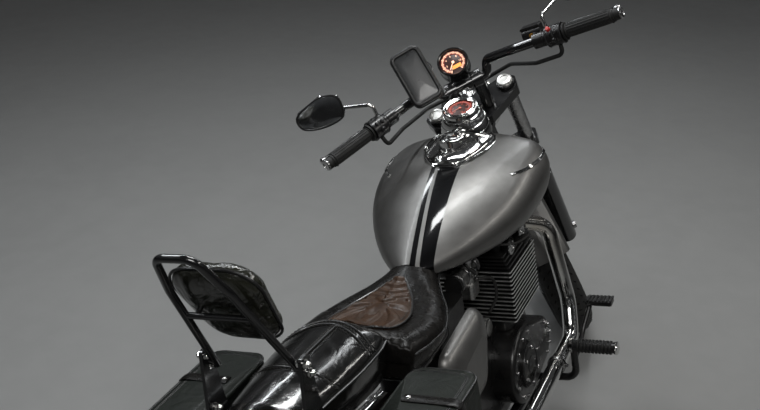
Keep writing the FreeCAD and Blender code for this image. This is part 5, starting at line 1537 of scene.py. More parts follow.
@dataclass
class Saddlebags:
    """Leather saddlebags with hinged lids, straps, buckles and studs. Drawn for the left, then mirrored."""

    inner: float = 176.0
    outer: float = 302.0
    rear: float = -175.0
    front: float = 250.0
    low: float = 378.0
    top: float = 690.0
    lid_over: float = 7.0
    lid_inner: float = 170.0
    flap: float = 148.0
    flap_thick: float = 5.0
    strap_places: tuple[float, float] = (-70.0, 140.0)

    def ring(self, z: float, inset: float, corner: float, bulge: float = 0.0) -> list[Vector]:
        """A level ring of the bag, its outer side and its ends bulged by the leather's sag.

        Args:
            z: Its height.
            inset: How far it is set in.
            corner: The corners' radius.
            bulge: How far the outer side stands out in its middle.

        Returns:
            The ring's points.
        """
        centres = corners(self.rear + inset, self.front - inset, self.inner + inset, self.outer - inset,
                          corner)
        turns = [[Vector((x, y, z)) for x, y in quarter] for quarter in quarters(centres, corner, 7)]
        ring: list[Vector] = []
        for i, (out, share) in enumerate(((LEFT, 1.0), (-AHEAD, 0.3), (-LEFT, 0.0), (AHEAD, 0.3))):
            last, following = turns[i][-1], turns[(i + 1) % 4][0]
            ring += turns[i]
            ring += [last.lerp(following, t) + out * bulge * sin(pi * t) * share
                     for t in (k / 12 for k in range(1, 12))]
        return ring

    def shell(self) -> Form:
        """The open bag: its outside, its rim and its inside.

        Returns:
            The form.
        """
        height = self.top - self.low
        rings = [self.ring(self.low, 44, 24)]
        for share, inset, corner in (
            (0.0, 18, 32), (0.02, 9, 34), (0.06, 4, 36), (0.12, 1.5, 38), (0.25, 0.5, 38), (0.4, 0.3, 38),
            (0.55, 0.3, 38), (0.7, 0.5, 38), (0.85, 0.6, 38), (0.97, 0.6, 38), (1.0, 1.5, 38),
        ):
            sag = 5.0 * sin(pi * min(1.0, share * 1.25 + 0.02)) if share < 0.8 else 0.0
            crease = 0.9 * sin(share * 31)
            rings.append(self.ring(self.low + height * share, inset, corner, max(0.0, sag + crease)))
        for share, inset in ((1.0, 4.5), (0.97, 5.5), (0.6, 5.5), (0.15, 6.5), (0.06, 12), (0.025, 44)):
            rings.append(self.ring(self.low + height * share, inset, 32))
        return Form().loft(rings)

    def lid_ring(self, extra: float, z: float, corner: float) -> list[Vector]:
        """A level ring round the lid.

        Args:
            extra: How far it is set out.
            z: Its height.
            corner: The corners' radius.

        Returns:
            The ring's points.
        """
        over = self.lid_over + extra
        centres = corners(self.rear - over, self.front + over, self.lid_inner, self.outer + over, corner)
        return [Vector((x, y, z)) for quarter in quarters(centres, corner, 7) for x, y in quarter]

    def lid(self) -> Form:
        """The lid: a crowned top, a rim over the bag, and a rounded flap down the outside.

        Returns:
            The form.
        """
        low = self.top + 0.3
        rings = ((-40, -0.3, 14), (-8, -0.5, 26), (-5, -6, 27), (-5, -24, 27), (-5, -24, 27), (0, -24, 32),
                 (0.3, -10, 32), (0, 1, 32), (-4, 4.2, 29), (-16, 5.6, 24), (-40, 7.0, 14))
        form = Form().loft([self.lid_ring(extra, low + z, corner) for extra, z, corner in rings])
        x0, x1 = self.rear - self.lid_over, self.front + self.lid_over
        columns, rows, flap = 40, 14, []
        for t in (i / rows for i in range(rows + 1)):
            shrink = 24 + 22 * t + (26 * (max(0.0, t - 0.8) / 0.2) ** 2)
            y = self.outer + 3 + 4.5 * sin(pi * min(1, t * 1.1)) * (1 - 0.4 * t) + self.flap_thick
            width, z = x1 - x0 - 2 * shrink, low - 2 - self.flap * t
            outer = [Vector((x0 + shrink + width * k / columns, y + 0.7 * sin(k * 0.9 + t * 5) * t, z))
                     for k in range(columns + 1)]
            flap.append(outer + [p - LEFT * self.flap_thick for p in reversed(outer)])
        form.loft(flap)
        hinge = range(int(self.rear) + 42, int(self.front) - 40, 10)
        return form.pipe([(x, self.inner - 6, self.top + 2.8) for x in hinge], 4.9, 10)

    def trim(self) -> tuple[Form, Form, list[Spot], list[Spot]]:
        """Straps, buckles, studs and stitches of one lid.

        Returns:
            The straps, the buckles, and where the studs and the stitches go.
        """
        straps, buckles, studs = Form(), Form(), []
        course = [(y - self.outer, 7.6) for y in (196, 230, 262, 286, 300)]
        course += [(9.5, 2), (12.5, -20), (14.5, -60), (14.5, -100), (12.5, -138), (10.5, -168)]
        ups = [UP] * 4 + [(0, 0.5, 0.86), (0, 0.8, 0.6)] + [(0, 1, 0.04)] * 5
        for x in self.strap_places:
            straps.ribbon([(x, self.outer + out, self.top + z) for out, z in course], ups, 12, 3.4)
            z, y = self.top - 96, self.outer + 18
            frame = [(x + 17 * a, y, z + 14 * b) for a, b in SQUARE]
            buckles.pipe(smooth_path(frame, 6, closed=True), 2.2, 8, closed=True)
            buckles.pipe([(x, y + 1, z - 15), (x, y + 3, z), (x, y + 1.5, z + 15)], 1.6, 6)
            for out, dz in ((17.2, -46), (17.2, -62), (15, -126), (15, -150)):
                studs.append(Spot((x, self.outer + out, self.top + dz), LEFT))
            studs.append(Spot((x, 206, self.top + 10.8), UP))
        edge = [Vector((self.rear + 22 + i * 8.0, self.outer + 8.5, self.top - 8)) for i in range(47)]
        return straps, buckles, studs, along_path(edge, LEFT, 8.5)

    def build(self) -> None:
        """Makes both bags and both lids."""
        welt, edge = Form(), Form()
        welt.pipe(self.ring(self.low + 24, 1.2, 38, 4.0), 3.0, 8, closed=True)
        welt.pipe(self.ring(self.top - 40, 0.2, 38), 3.0, 8, closed=True)
        for x in (self.rear + 9, self.front - 9):
            heights = range(int(self.low) + 26, int(self.top) - 4, 10)
            welt.pipe([(x, self.outer - 9, z) for z in heights], 3.2, 8)
        for extra, z, corner, thick in (
            (-0.4, 1.9, 31.6, 2.6), (-14, 5.4, 24, 1.5), (-17.5, 5.7, 22, 1.2), (0.4, -22, 32.4, 1.8),
        ):
            edge.pipe(self.lid_ring(extra, self.top + z, corner), thick, 7, closed=True)
        straps, buckles, studs, seams = self.trim()
        forms = [self.shell(), self.lid(), welt, edge, straps, buckles]
        for side, body in (("left", Body.LID_LEFT), ("right", Body.LID_RIGHT)):
            bag = piece(f"bag_leather_{side}", forms[0], LEATHER_MATT, sharp=50)
            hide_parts(f"saddlebag_{side}")
            top = piece(f"lid_leather_{side}", forms[1], LEATHER_MATT, body, 50)
            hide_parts(f"bag_lid_{side}")
            piece(f"bag_piping_{side}", forms[2], PIPING)
            piece(f"lid_piping_{side}", forms[3], PIPING, body)
            piece(f"lid_straps_{side}", forms[4], LEATHER, body)
            piece(f"lid_buckles_{side}", forms[5], CHROME, body)
            REPEAT(f"lid_studs_{side}", stud(5.5), studs, CHROME, body)
            REPEAT(f"lid_stitches_{side}", stitch(5.5, 0.8), seams, THREAD, body)
            forms, studs, seams = ([item.flipped() for item in items] for items in (forms, studs, seams))


# Tank and console

TANK_TABLE = [
    (636, 36, 706, 728, 12, 24, 692), (690, 88, 712, 762, 28, 60, 688), (780, 150, 726, 810, 46, 108, 684),
    (880, 198, 748, 850, 60, 146, 682), (980, 221, 772, 874, 70, 166, 684),
    (1070, 224, 786, 884, 72, 166, 692), (1134, 210, 792, 880, 68, 148, 706),
    (1182, 172, 794, 861, 50, 112, 728), (1210, 124, 792, 842, 34, 76, 752),
]
CONSOLE_TABLE = [
    (928, 30, 862, 878, 8, 22, 845), (960, 62, 870, 892, 12, 54, 845), (1020, 86, 874, 904, 16, 78, 845),
    (1090, 88, 874, 906, 18, 80, 840), (1130, 72, 868, 896, 16, 62, 835), (1158, 40, 860, 882, 9, 30, 830),
]


@dataclass
class TankTrim:
    """The tank's side trim, and the console's dial, filler cap and fasteners."""

    strip_height: float = 830.0
    dial_spot: Flat = (1088.0, 966.0)
    dial_tilt: float = radians(18.0)
    dial_radius: float = 43.0
    filler_spot: Flat = (1006.0, 896.0)

    def build(self) -> None:
        """Makes the trim."""
        self.side_trim()
        self.dial()
        self.filler()

    def side_trim(self) -> None:
        """A slim chrome strip on each side of the tank's front, and the bright steps round the console."""
        tank = Cushion(TANK_TABLE, 30)
        path, ups = [], []
        for row in (tank.row_at(x) for x in range(948, 1151, 10)):
            ring = [p for p in section(row) if p.y > 0 and p.z > row[2]]
            low, high = next((a, b) for a, b in zip(ring, ring[1:]) if b.z >= self.strip_height)
            path.append(low.lerp(high, (self.strip_height - low.z) / (high.z - low.z)))
            ups.append(Vector((0, high.z - low.z, low.y - high.y)).normalized())
        piece("tank_trim", Form().ribbon(path, ups, 5.0, 3.4).mirrored(), CHROME)
        rims, base = Form(), Cushion(CONSOLE_TABLE, 12)
        for k, grow, thick in ((9, 0.6, 3.2), (12, 0.2, 1.5), (16, 0.2, 2.4)):
            left = [section(row, grow)[k] for row in base.rows]
            rims.pipe(left + [across(p) for p in reversed(left)], thick, 7, closed=True)
        piece("console_rims", rims, CHROME)

    def dial(self) -> None:
        """The lit dial in the console's bell: its rims and its face."""
        spot = Vector((self.dial_spot[0], 0, self.dial_spot[1]))
        axis = Vector((-sin(self.dial_tilt), 0, cos(self.dial_tilt)))
        r = self.dial_radius
        rims = Form()
        hoops = ((1.2, 0.0, 3.4), (-7, 0.4, 2.6), (6.4, -16, 2.2), (14.5, -38, 3.0), (20, -58, 2.4))
        for more, lift, thick in hoops:
            rims.hoop(spot + axis * lift, axis, r + more, thick, 8, 48)
        piece("dial_rims", rims, CHROME)
        Gauge("console_dial", spot - axis * 2.5, axis, r - 9, Body.FRAME, 24, mark=DIAL_DEEP).build()

    def filler(self) -> None:
        """The filler cap's knurled ring, its lock cover and the console's screws."""
        x, z = self.filler_spot
        profile = [(34, 10), (37.4, 11), (37.8, 14), (37.2, 18.5), (33, 21.2), (26, 21.6), (24, 24.5),
                   (15, 26.6), (0, 27.2)]
        piece("filler_cap", Form().turned(profile, (x, 0, z), UP, 48), CHROME)
        knurl = Form().slab([(1.4 * a, 3.4 * b, 0) for a, b in SQUARE], (0, 0, 1.3), 0.6)
        outs = [swung(AHEAD, LEFT, tau * i / 40) for i in range(40)]
        spots = [Spot(Vector((x, 0, z + 15)) + out * 37.4, out) for out in outs]
        REPEAT("filler_knurl", knurl, spots, CHROME_DULL)
        profile = [(0, 0), (9, 0), (9.4, 1.5), (8, 3), (0, 3.6)]
        piece("filler_lock", Form().turned(profile, (x - 6, 0, z + 25.6), (-0.12, 0, 1), 24), CHROME_DULL)
        screws = [Spot((944, 0, 886), (-0.4, 0, 1)), Spot((1052, 70, 893), (0, 0.4, 1)),
                  Spot((1052, -70, 893), (0, -0.4, 1))]
        REPEAT("console_screws", socket_bolt(4.5, 3.6), screws, CHROME_DULL)


@dataclass
class Gauge:
    """A round instrument face: disc, lit ring, ticks, figures and hand."""

    name: str
    centre: Vector
    axis: Vector
    radius: float
    body: Body
    ticks: int = 40
    window: bool = False
    mark: Finish = DIAL_MARK
    start: float = 240.0
    sweep: float = 300.0
    reading: float = 228.0

    def __post_init__(self) -> None:
        """Works out the directions across the face."""
        self.axis = unit(self.axis)
        self.upright = Vector((self.axis.z, 0, -self.axis.x))
        self.side = self.upright.cross(self.axis).normalized()

    def at(self, radius: float, angle: float, lift: float) -> Vector:
        """A point by its radius, its angle in degrees, and its height over the face."""
        return self.centre + swung(self.side, self.upright, radians(angle)) * radius + self.axis * lift

    def build(self) -> None:
        """Makes the face."""
        r = self.radius
        profile = [(0, -1.5), (r, -1.5), (r, 0.2), (r - 1, 0.7), (0, 0.7)]
        piece(self.name + "_face", Form().turned(profile, self.centre, self.axis, 40), DIAL_FACE, self.body)
        ring = [self.at(r * 0.8, self.start - self.sweep * i / 60, 1.1) for i in range(61)]
        piece(self.name + "_ring", Form().ribbon(ring, [self.axis] * 61, r * 0.13, 0.5), DIAL_RING, self.body)
        tick = Form().slab([(0.7 * a, 2.6 * b, 0) for a, b in SQUARE], (0, 0, 0.5), 0.1)
        spots = []
        for i in range(self.ticks + 1):
            angle = self.start - self.sweep * i / self.ticks
            size = (1.0, 0.9, 1.0) if i % 4 else (1.3, 1.5, 1.0)
            out = self.at(1, angle, 0) - self.centre
            spots.append(Spot(self.at(r * 0.82, angle, 1.5), self.axis, out, size))
        REPEAT(self.name + "_ticks", tick, spots, self.mark, self.body)
        line = [self.at(r * reach, self.reading, 2.4) for reach in (-0.12, 0.3, 0.66)]
        hand = Form().ribbon(line, [self.axis] * 3, 1.1, 0.8)
        profile = [(0, 1.5), (r * 0.11, 1.5), (r * 0.11, 3.4), (r * 0.08, 4.0), (0, 4.0)]
        piece(self.name + "_hand", hand.turned(profile, self.centre, self.axis, 20), self.mark, self.body)
        self.figures()
        if self.window:
            middle = self.centre + self.side * r * 0.14 - self.upright * r * 0.42 + self.axis
            frame = [middle + self.side * x * (r * 0.36) + self.upright * y * (r * 0.15) for x, y in SQUARE]
            piece(self.name + "_window", Form().slab(frame, self.axis * 0.8, 0.3), WINDOW_AMBER, self.body)

    def figures(self) -> None:
        """The scale's numbers, as a mesh."""
        whole = Form()
        basis = Matrix((self.side, self.upright, self.axis)).transposed().to_4x4()
        for i in range(7):
            text = bpy.data.curves.new("figure", "FONT")
            text.body, text.size, text.extrude = str(i * 2), self.radius * 0.22, 0.25
            text.align_x, text.align_y = "CENTER", "CENTER"
            holder = show("figure", text)
            bpy.context.view_layer.update()
            mesh = evaluated(holder)
            where = Matrix.Translation(self.at(self.radius * 0.55, self.start - 50 * i, 1.2)) @ basis
            base = len(whole.points)
            whole.points.extend(where @ v.co for v in mesh.vertices)
            whole.faces.extend(tuple(base + k for k in polygon.vertices) for polygon in mesh.polygons)
            bpy.data.objects.remove(holder)
        piece(self.name + "_figures", whole, self.mark, self.body)


# Cockpit


BAR_CENTRE = Vector((WHEELBASE - 452, 0, 1000))
GRIP_INNER = Vector((WHEELBASE - 622, 276, 1038))
GRIP_OUTER = Vector((WHEELBASE - 690, 392, 1032))
GRIP_ALONG = (GRIP_OUTER - GRIP_INNER).normalized()
FORK_SPACING = 105.0


@dataclass
class Cockpit:
    """Instruments, mirrors, switches, grips and the case on the handlebar."""

    mirror: Point = (WHEELBASE - 593, 372.0, 1138.0)
    mirror_outline: Sequence[Point] = (
        (-62, -30), (-66, 20), (-20, 40), (48, 26), (66, 6), (56, -24), (10, -42), (-40, -44),
    )
    meter: Point = (WHEELBASE - 433, 0.0, 1064.0)
    meter_tilt: float = radians(38)
    phone: Point = (WHEELBASE - 567, 106.0, 1104.0)
    phone_tilt: float = radians(24)
    phone_roll: float = radians(3)

    def build(self) -> None:
        """Makes the cockpit's trim."""
        self.meter_face()
        self.case()
        self.mirrors()
        self.grips()
        self.switches()
        self.reservoir()
        self.clamp()

    def meter_face(self) -> None:
        """The speedometer's bezel and its face."""
        axis = Vector((-cos(self.meter_tilt), 0, sin(self.meter_tilt)))
        spot = Vector(self.meter)
        bezel = Form().hoop(spot + axis * 8.5, axis, 40.0, 3.3, 10, 48)
        bezel.turned([(42.3, -34), (43.6, -30), (43.6, -24), (42.3, -20)], spot, axis, 40)
        piece("meter_bezel", bezel, PAINT_BLACK, Body.FORK)
        Gauge("meter", spot + axis * 3.4, axis, 35.5, Body.FORK, 48, True).build()

    def case(self) -> None:
        """The weatherproof case: a padded rim, a grey window, and the zip's pull."""
        face = Vector((-cos(self.phone_tilt), 0, sin(self.phone_tilt)))
        upright = Vector((sin(self.phone_tilt), 0, cos(self.phone_tilt)))
        centre = Vector(self.phone)
        side = -LEFT * cos(self.phone_roll) + upright * sin(self.phone_roll)
        up = upright * cos(self.phone_roll) + LEFT * sin(self.phone_roll)

        def outline(w: float, h: float, corner: float, lift: float) -> list[Vector]:
            """A rounded outline on the case's face, by half its width and half its height."""
            turns = quarters(corners(-w, w, -h, h, corner), corner, 6)
            return [centre + side * x + up * y + face * lift for quarter in turns for x, y in quarter]

        padding = ((31, 65, 9, -1.6), (32, 66, 10, 1.6), (34.5, 69, 12, 3.4), (39, 74, 16, 3.0),
                   (41.6, 77.6, 18, 0.6), (42.2, 78.2, 18, -4), (41.4, 77.4, 18, -7))
        zipper = ((41.2, 77.2, 18, -11), (43.2, 79.2, 19, -12), (43.2, 79.2, 19, -15), (41.2, 77.2, 18, -16))
        rim = Form()
        for rings in (padding, zipper):
            rim.loft([outline(*ring) for ring in rings], ends=False)
        piece("case_rim", rim, PLASTIC, Body.FORK, 50)
        window = ((33, 67, 10, -1.9), (33, 67, 10, -0.8), (30, 64, 9, -0.2), (10, 30, 5, 0.4))
        piece("case_screen", Form().loft([outline(*ring) for ring in window]), SCREEN, Body.FORK)
        pull = [centre + side * x + up * y - face * 13.5 for x, y in ((44, 20), (47, 8), (46, -6))]
        piece("case_pull", Form().pipe(pull, 1.8, 6), CHROME_DULL, Body.FORK)

    def mirrors(self) -> None:
        """The mirrors' glass, with its dark border, and the stems' joints."""
        glass, border, joints = Form(), Form(), Form()
        x, y, z = self.mirror
        outline = smooth_path(self.mirror_outline, 5, closed=True)

        def ring(side: int, share: float, depth: float) -> list[Vector]:
            """The mirror's outline, scaled by a share and set ahead by a depth."""
            return [Vector((x + depth, side * (y + p.x * share), z + p.y * share)) for p in outline]

        for side in (1, -1):
            pane = ((0.86, 0.5), (0.85, -1.0), (0.7, -1.6), (0.3, -1.9))
            edge = ((0.84, -0.4), (0.87, -2.2), (0.94, -2.0), (0.955, 0.5), (0.94, 1.5))
            glass.loft([ring(side, *layer) for layer in pane])
            border.loft([ring(side, *layer) for layer in edge], ends=False)
            profile = [(0, -8), (8.5, -8), (9, -6), (9, 4), (7.5, 7), (0, 8)]
            joints.turned(profile, (x + 18, side * (y - 26), z - 7), (0.3, side, 0.3), 18)
        piece("mirror_glass", glass, MIRROR, Body.FORK)
        piece("mirror_border", border, PLASTIC, Body.FORK)
        piece("mirror_joints", joints, CHROME_DULL, Body.FORK)

    def grips(self) -> None:
        """Ribs along the grips, and the turned end weights."""
        along, length = GRIP_ALONG, (GRIP_OUTER - GRIP_INNER).length
        side, up = square(along)
        ribs = Form()
        for out in (swung(side, up, tau * k / 16) for k in range(16)):
            line = [GRIP_INNER + along * s + out * 16.6 for s in (12, 16, length - 16, length - 12)]
            ribs.pipe(line, 1.7, 5)
        for s in (8, length - 7):
            ribs.hoop(GRIP_INNER + along * s, along, 17.2, 2.0, 6)
        profile = [(0, 15.8), (15.3, 15.8), (15.6, 18), (13.4, 21), (8, 22.2), (7.6, 20.6), (0, 20.4)]
        piece("grip_ribs", ribs.mirrored(), RUBBER, Body.FORK)
        piece("bar_ends", Form().turned(profile, GRIP_OUTER, along, 28).mirrored(), CHROME_DULL, Body.FORK)

    def switches(self) -> None:
        """Switch housings: their seams, rockers, the red stop switch, and the levers' caps."""
        along = GRIP_ALONG
        ahead = Vector((along.y, -along.x, 0)).normalized()
        seams, knobs, caps = Form(), Form(), Form()
        middle = GRIP_INNER - along * 24
        for s in (-44, -24, -4):
            seams.hoop(GRIP_INNER + along * s, along, 27.0, 1.1, 6)
        for shift, lift, size in ((-10, 14, 6.0), (8, 16, 5.0), (0, -6, 6.5)):
            axis = unit(UP * lift / 30 - ahead * 0.9)
            profile = [(0, 24), (size + 1, 24), (size + 1, 28), (size * 0.8, 31.5), (0, 32.5)]
            knobs.turned(profile, middle + along * shift, axis, 16)
        profile = [(0, 24), (6.5, 24), (6.5, 29.5), (5, 33), (0, 33.6)]
        red = Form().turned(profile, middle - along * 8, unit(UP * 0.84 - ahead * 0.55), 16)
        hinge = GRIP_INNER - along * 62 + ahead * 48
        caps.turned([(0, 9), (8, 9), (8, 13), (6.4, 14.5), (0, 14.5)], hinge, UP, 6)
        profile = [(0, 0), (7.5, 1), (9.2, 6), (8.5, 12), (5, 15.5), (0, 16.5)]
        caps.turned(profile, GRIP_OUTER - along * 14 + ahead * 58, along, 18)
        piece("switch_seams", seams.mirrored(), ALLOY_DARK, Body.FORK)
        piece("switch_rockers", knobs.mirrored(), PLASTIC, Body.FORK)
        piece("stop_switch", red.flipped(), SWITCH_RED, Body.FORK)
        piece("lever_caps", caps.mirrored(), CHROME_DULL, Body.FORK)

    def reservoir(self) -> None:
        """The brake reservoir's lid and sight glass, on the right."""
        along = GRIP_ALONG
        ahead = Vector((along.y, -along.x, 0)).normalized()
        pot = GRIP_INNER - along * 92 + ahead * 36 + UP * 14
        rim = [pot + along * 27 * a + ahead * 15 * b + UP * 17 for a, b in SQUARE]
        piece("reservoir_lid", Form().slab(rim, UP * 6, 2.5).flipped(), COVER_BLACK, Body.FORK)
        sight = Form().turned([(0, 18), (6.5, 18), (6.5, 20.8), (5, 21.6), (0, 21.6)], pot, -ahead, 20)
        piece("reservoir_sight", sight.flipped(), SIGHT, Body.FORK)

    def clamp(self) -> None:
        """Fork caps, the steering nut and the handlebar clamp's bolts."""
        caps, rings = Form(), Form()
        for side in (1, -1):
            foot = fork_point(1102, AXLE_AHEAD, side * FORK_SPACING)
            cap = [(0, 0), (21, 0), (21.4, 3), (19, 6.5), (12, 7.5), (11.6, 5.4), (0, 5.0)]
            caps.turned(cap, foot, STEER_UP)
            rings.turned([(23.4, -8), (24.8, -7), (24.8, -3), (23.4, -2)], foot, STEER_UP)
        piece("fork_caps", caps, CAP_BRIGHT, Body.FORK)
        piece("fork_cap_rings", rings, PLASTIC, Body.FORK)
        profile = [(0, 12), (20, 12), (20, 19), (17, 21.5), (0, 21.5)]
        piece("steering_nut", Form().turned(profile, fork_point(1088, 0), STEER_UP, 6), CHROME, Body.FORK)
        spots = [Spot((BAR_CENTRE.x + dx * 0.86, y + dy, BAR_CENTRE.z + 15.5), (dx / 60, 0, 1))
                 for y in (-38, 38) for dy in (-8.5, 8.5) for dx in (-17, 17)]
        REPEAT("clamp_bolts", socket_bolt(4.6, 5.5), spots, CHROME_DULL, Body.FORK)


# Engine, exhaust and drive


@dataclass
class EngineTrim:
    """Bolts, caps, plugs, leads, hoses and small parts on the engine."""

    middle: float = ENGINE_X
    intake_y: float = 62.0
    carburettor: float = -155.0

    def build(self) -> None:
        """Makes the engine's trim."""
        self.covers(self.middle)
        self.plugs(self.middle)
        self.carburettors(self.middle)
        self.starter(self.middle + 6 + self.carburettor)

    def covers(self, x: float) -> None:
        """Bolts round the side covers, their stepped caps, and the head's nuts and cam ends.

        Args:
            x: Where the engine's middle is.
        """
        spots, caps = [], Form()
        for side, face, big, small, r in (
            (-1, 166.0, (x - 75, 318, 104), (x + 71, 306, 68), 62),
            (1, 152.0, (x + 45, 312, 88), (x - 175, 318, 72), 56),
        ):
            back, facing = 1 if big[0] < small[0] else -1, (0, side, 0)
            arcs = ((big, range(-110, 111, 31), -back), (small, range(-66, 67, 33), back))
            for (cx, cz, reach), turns, ahead in arcs:
                reach -= 17
                for a in (radians(turn) for turn in turns):
                    place = (cx + ahead * reach * cos(a), side * face, cz + reach * sin(a))
                    spots.append(Spot(place, facing))
            steps = [(r - 3, -1), (r - 4, 1.6), (r - 9, 3.6), (r - 15, 3.6), (r - 17, 1.4), (24, 1.4),
                     (21, 4.0), (9, 5.2), (0, 5.2)]
            caps.turned(steps, (big[0], side * (face + 8), big[1]), facing, 48)
            spots += circle_spots((big[0], side * (face + 11.4), big[1]), facing, r - 12, 6, 0.4)
        REPEAT("cover_bolts", socket_bolt(5.2, 5), spots, CHROME_DULL)
        piece("cover_caps", caps, COVER_BLACK)
        nuts = [Spot((x + dx, side * 118, 665.6), UP) for side in (1, -1) for dx in (-58, 0, 58)]
        REPEAT("head_nuts", acorn_nut(6.5, 11), nuts, CHROME_DULL)
        ends, profile = Form(), [(23, 0), (22.4, 2.6), (15, 3.4), (13.6, 1.8), (6, 1.8), (5, 4), (0, 4.4)]
        for side in (1, -1):
            for dx in (-44, 44):
                ends.turned(profile, (x + dx, side * 149.6, 644), (0, side, 0), 28)
        piece("cam_ends", ends, CHROME_DULL)

    def plugs(self, x: float) -> None:
        """Plug caps on both sides, and their leads up under the tank.

        Args:
            x: Where the engine's middle is.
        """
        caps, leads = Form(), Form()
        profile = [(0, 0), (9, 0), (10.5, 4), (9.5, 26), (11, 28), (11, 36), (7, 42), (0, 42)]
        for side in (1, -1):
            foot, way = Vector((x - 6, side * 150, 640)), unit((-0.25, side, 0.5))
            caps.turned(profile, foot, way, 16)
            tip = foot + way * 40
            path = [tip, tip + Vector((-20, side * 12, 14)), (x - 70, side * 172, 664),
                    (x - 110, side * 120, 676), (x - 130, side * 60, 684)]
            leads.pipe(smooth_path(path, 6), 3.6, 8)
        piece("plug_caps", caps, RUBBER)
        piece("plug_leads", leads, RUBBER)

    def carburettors(self, x: float) -> None:
        """Clamps round the intake, bright tops, bowl screws, and the hoses and cables between.

        Args:
            x: Where the engine's middle is.
        """
        clamps, tops, hoses = Form(), Form(), Form()
        at = x + self.carburettor
        for y in (self.intake_y, -self.intake_y):
            side = copysign(1, y)
            for dx in (-116, -128, -186, -226):
                clamps.hoop((x + dx, y, 622.5), AHEAD, 24.6, 1.7, 6)
            cap = [(21.4, -12), (23.2, -10), (23.2, 2), (20, 6), (9, 8), (8, 12), (0, 12.5)]
            tops.turned(cap, (at, y, 660), UP, 28)
            plunger = [(0, 0), (11, 0), (12.5, 3), (12.5, 10), (9, 12), (0, 12)]
            tops.turned(plunger, (at, y + side * 21, 622), LEFT * side, 20)
            tops.turned([(12, 0), (12, 5), (7, 8), (0, 8.5)], (at, y, 557), -UP, 18)
            for radius, course in (
                (3.4, ((-155, 1, 671), (-150, 1.1, 684), (-110, 1.2, 690), (-20, 1.1, 688))),
                (4.2, ((-150, 1.48, 600), (-120, 1.9, 588), (-122, 2.0, 540), (-140, 1.7, 500))),
                (3.8, ((-172, 1.4, 640), (-200, 1.75, 640), (-214, 1.5, 668), (-190, 1, 686))),
            ):
                hoses.pipe(smooth_path([(x + dx, y * out, z) for dx, out, z in course], 6), radius, 8)
        piece("intake_clamps", clamps, STEEL)
        piece("carburettor_tops", tops, CHROME_DULL)
        piece("engine_hoses", hoses, RUBBER)
        screws = [Spot((at + dx, y + dy, 592.5), UP)
                  for y in (self.intake_y, -self.intake_y) for dx in (-23, 23) for dy in (-19, 19)]
        REPEAT("bowl_screws", socket_bolt(3.2, 3), screws, STEEL)

    def starter(self, x: float) -> None:
        """The starter motor's satin sleeve and end cap, over the crankcase.

        Args:
            x: Where the starter's middle line is.
        """
        sleeve = Form().turned([(29.9, 0), (31, 0.8), (31, 62), (29.9, 63)], (x, -86, 462), LEFT, 36)
        end = [(0, 16.6), (20, 16.6), (24.6, 14), (25, 11), (25, 0), (24, -0.2)]
        sleeve.turned(end, (x, -88, 462), -LEFT)
        piece("starter_sleeve", sleeve, ALLOY)


@dataclass
class ExhaustTrim:
    """Clamps on the headers, and slotted heat shields on the silencers."""

    port_x: float = ENGINE_X + 114
    silencer_end: float = 912.0
    shield_front: float = 196.0
    shield_rear: float = 190.0
    shield_half: float = radians(52)
    outside: float = 51.8
    inside: float = 49.2

    def build(self) -> None:
        """Makes the clamps and shields."""
        first, second = Vector((self.port_x + 91, -203, 246)), Vector((self.port_x - 384, -213, 262))
        along = (second - first).normalized()
        bands, bolts = Form(), []
        profile = [(22.2, -9), (24.6, -9), (25.4, -6), (25.4, 6), (24.6, 9), (22.2, 9)]
        for centre in (first.lerp(second, share) for share in (0.35, 0.93)):
            bands.turned(profile, centre, along, 28)
            bolts.append(Spot(centre - LEFT * 26, -LEFT))
        piece("header_bands", bands.mirrored(), CHROME_DULL)
        REPEAT("header_band_bolts", hex_bolt(5, 6), bolts + [bolt.flipped() for bolt in bolts], STEEL)
        self.shields(second, along)

    def shields(self, start: Vector, along: Vector) -> None:
        """A long curved shield on the outside of each silencer, with fine slots.

        Args:
            start: A point on the right silencer's middle line.
            along: That line's direction.
        """
        out = (-LEFT + along * along.dot(LEFT)).normalized()
        up = along.cross(out).normalized()
        up = up if up.z > 0 else -up
        rows, steps = [], 40
        for i in range(steps + 1):
            s = self.shield_front + (self.silencer_end - self.shield_front - self.shield_rear) * i / steps
            half = self.shield_half * sqrt(max(0.05, min(1.0, min(i, steps - i) / 5)))
            rows.append([start + along * s + swung(out, up, half * (1 - k / 6) * flip) * radius
                         for radius, flip in ((self.outside, 1), (self.inside, -1)) for k in range(13)])
        piece("silencer_shields", Form().loft(rows).mirrored(), CHROME, sharp=40)
        outline = [(-1.5, -9, 0), (-0.9, -10.4, 0), (0.9, -10.4, 0), (1.5, -9, 0), (1.5, 9, 0),
                   (0.9, 10.4, 0), (-0.9, 10.4, 0), (-1.5, 9, 0)]
        slots = []
        for s in range(280, int(self.silencer_end) - 270, 13):
            for radial in (swung(out, up, radians(turn)) for turn in (-24, 0, 24)):
                point = start + along * s + radial * (self.outside - 0.2)
                slots.append(Spot(point, radial, along.cross(radial)))
        both = slots + [slot.flipped() for slot in slots]
        REPEAT("shield_slots", Form().slab(outline, (0, 0, 0.5), 0.2), both, STEEL_DARK)


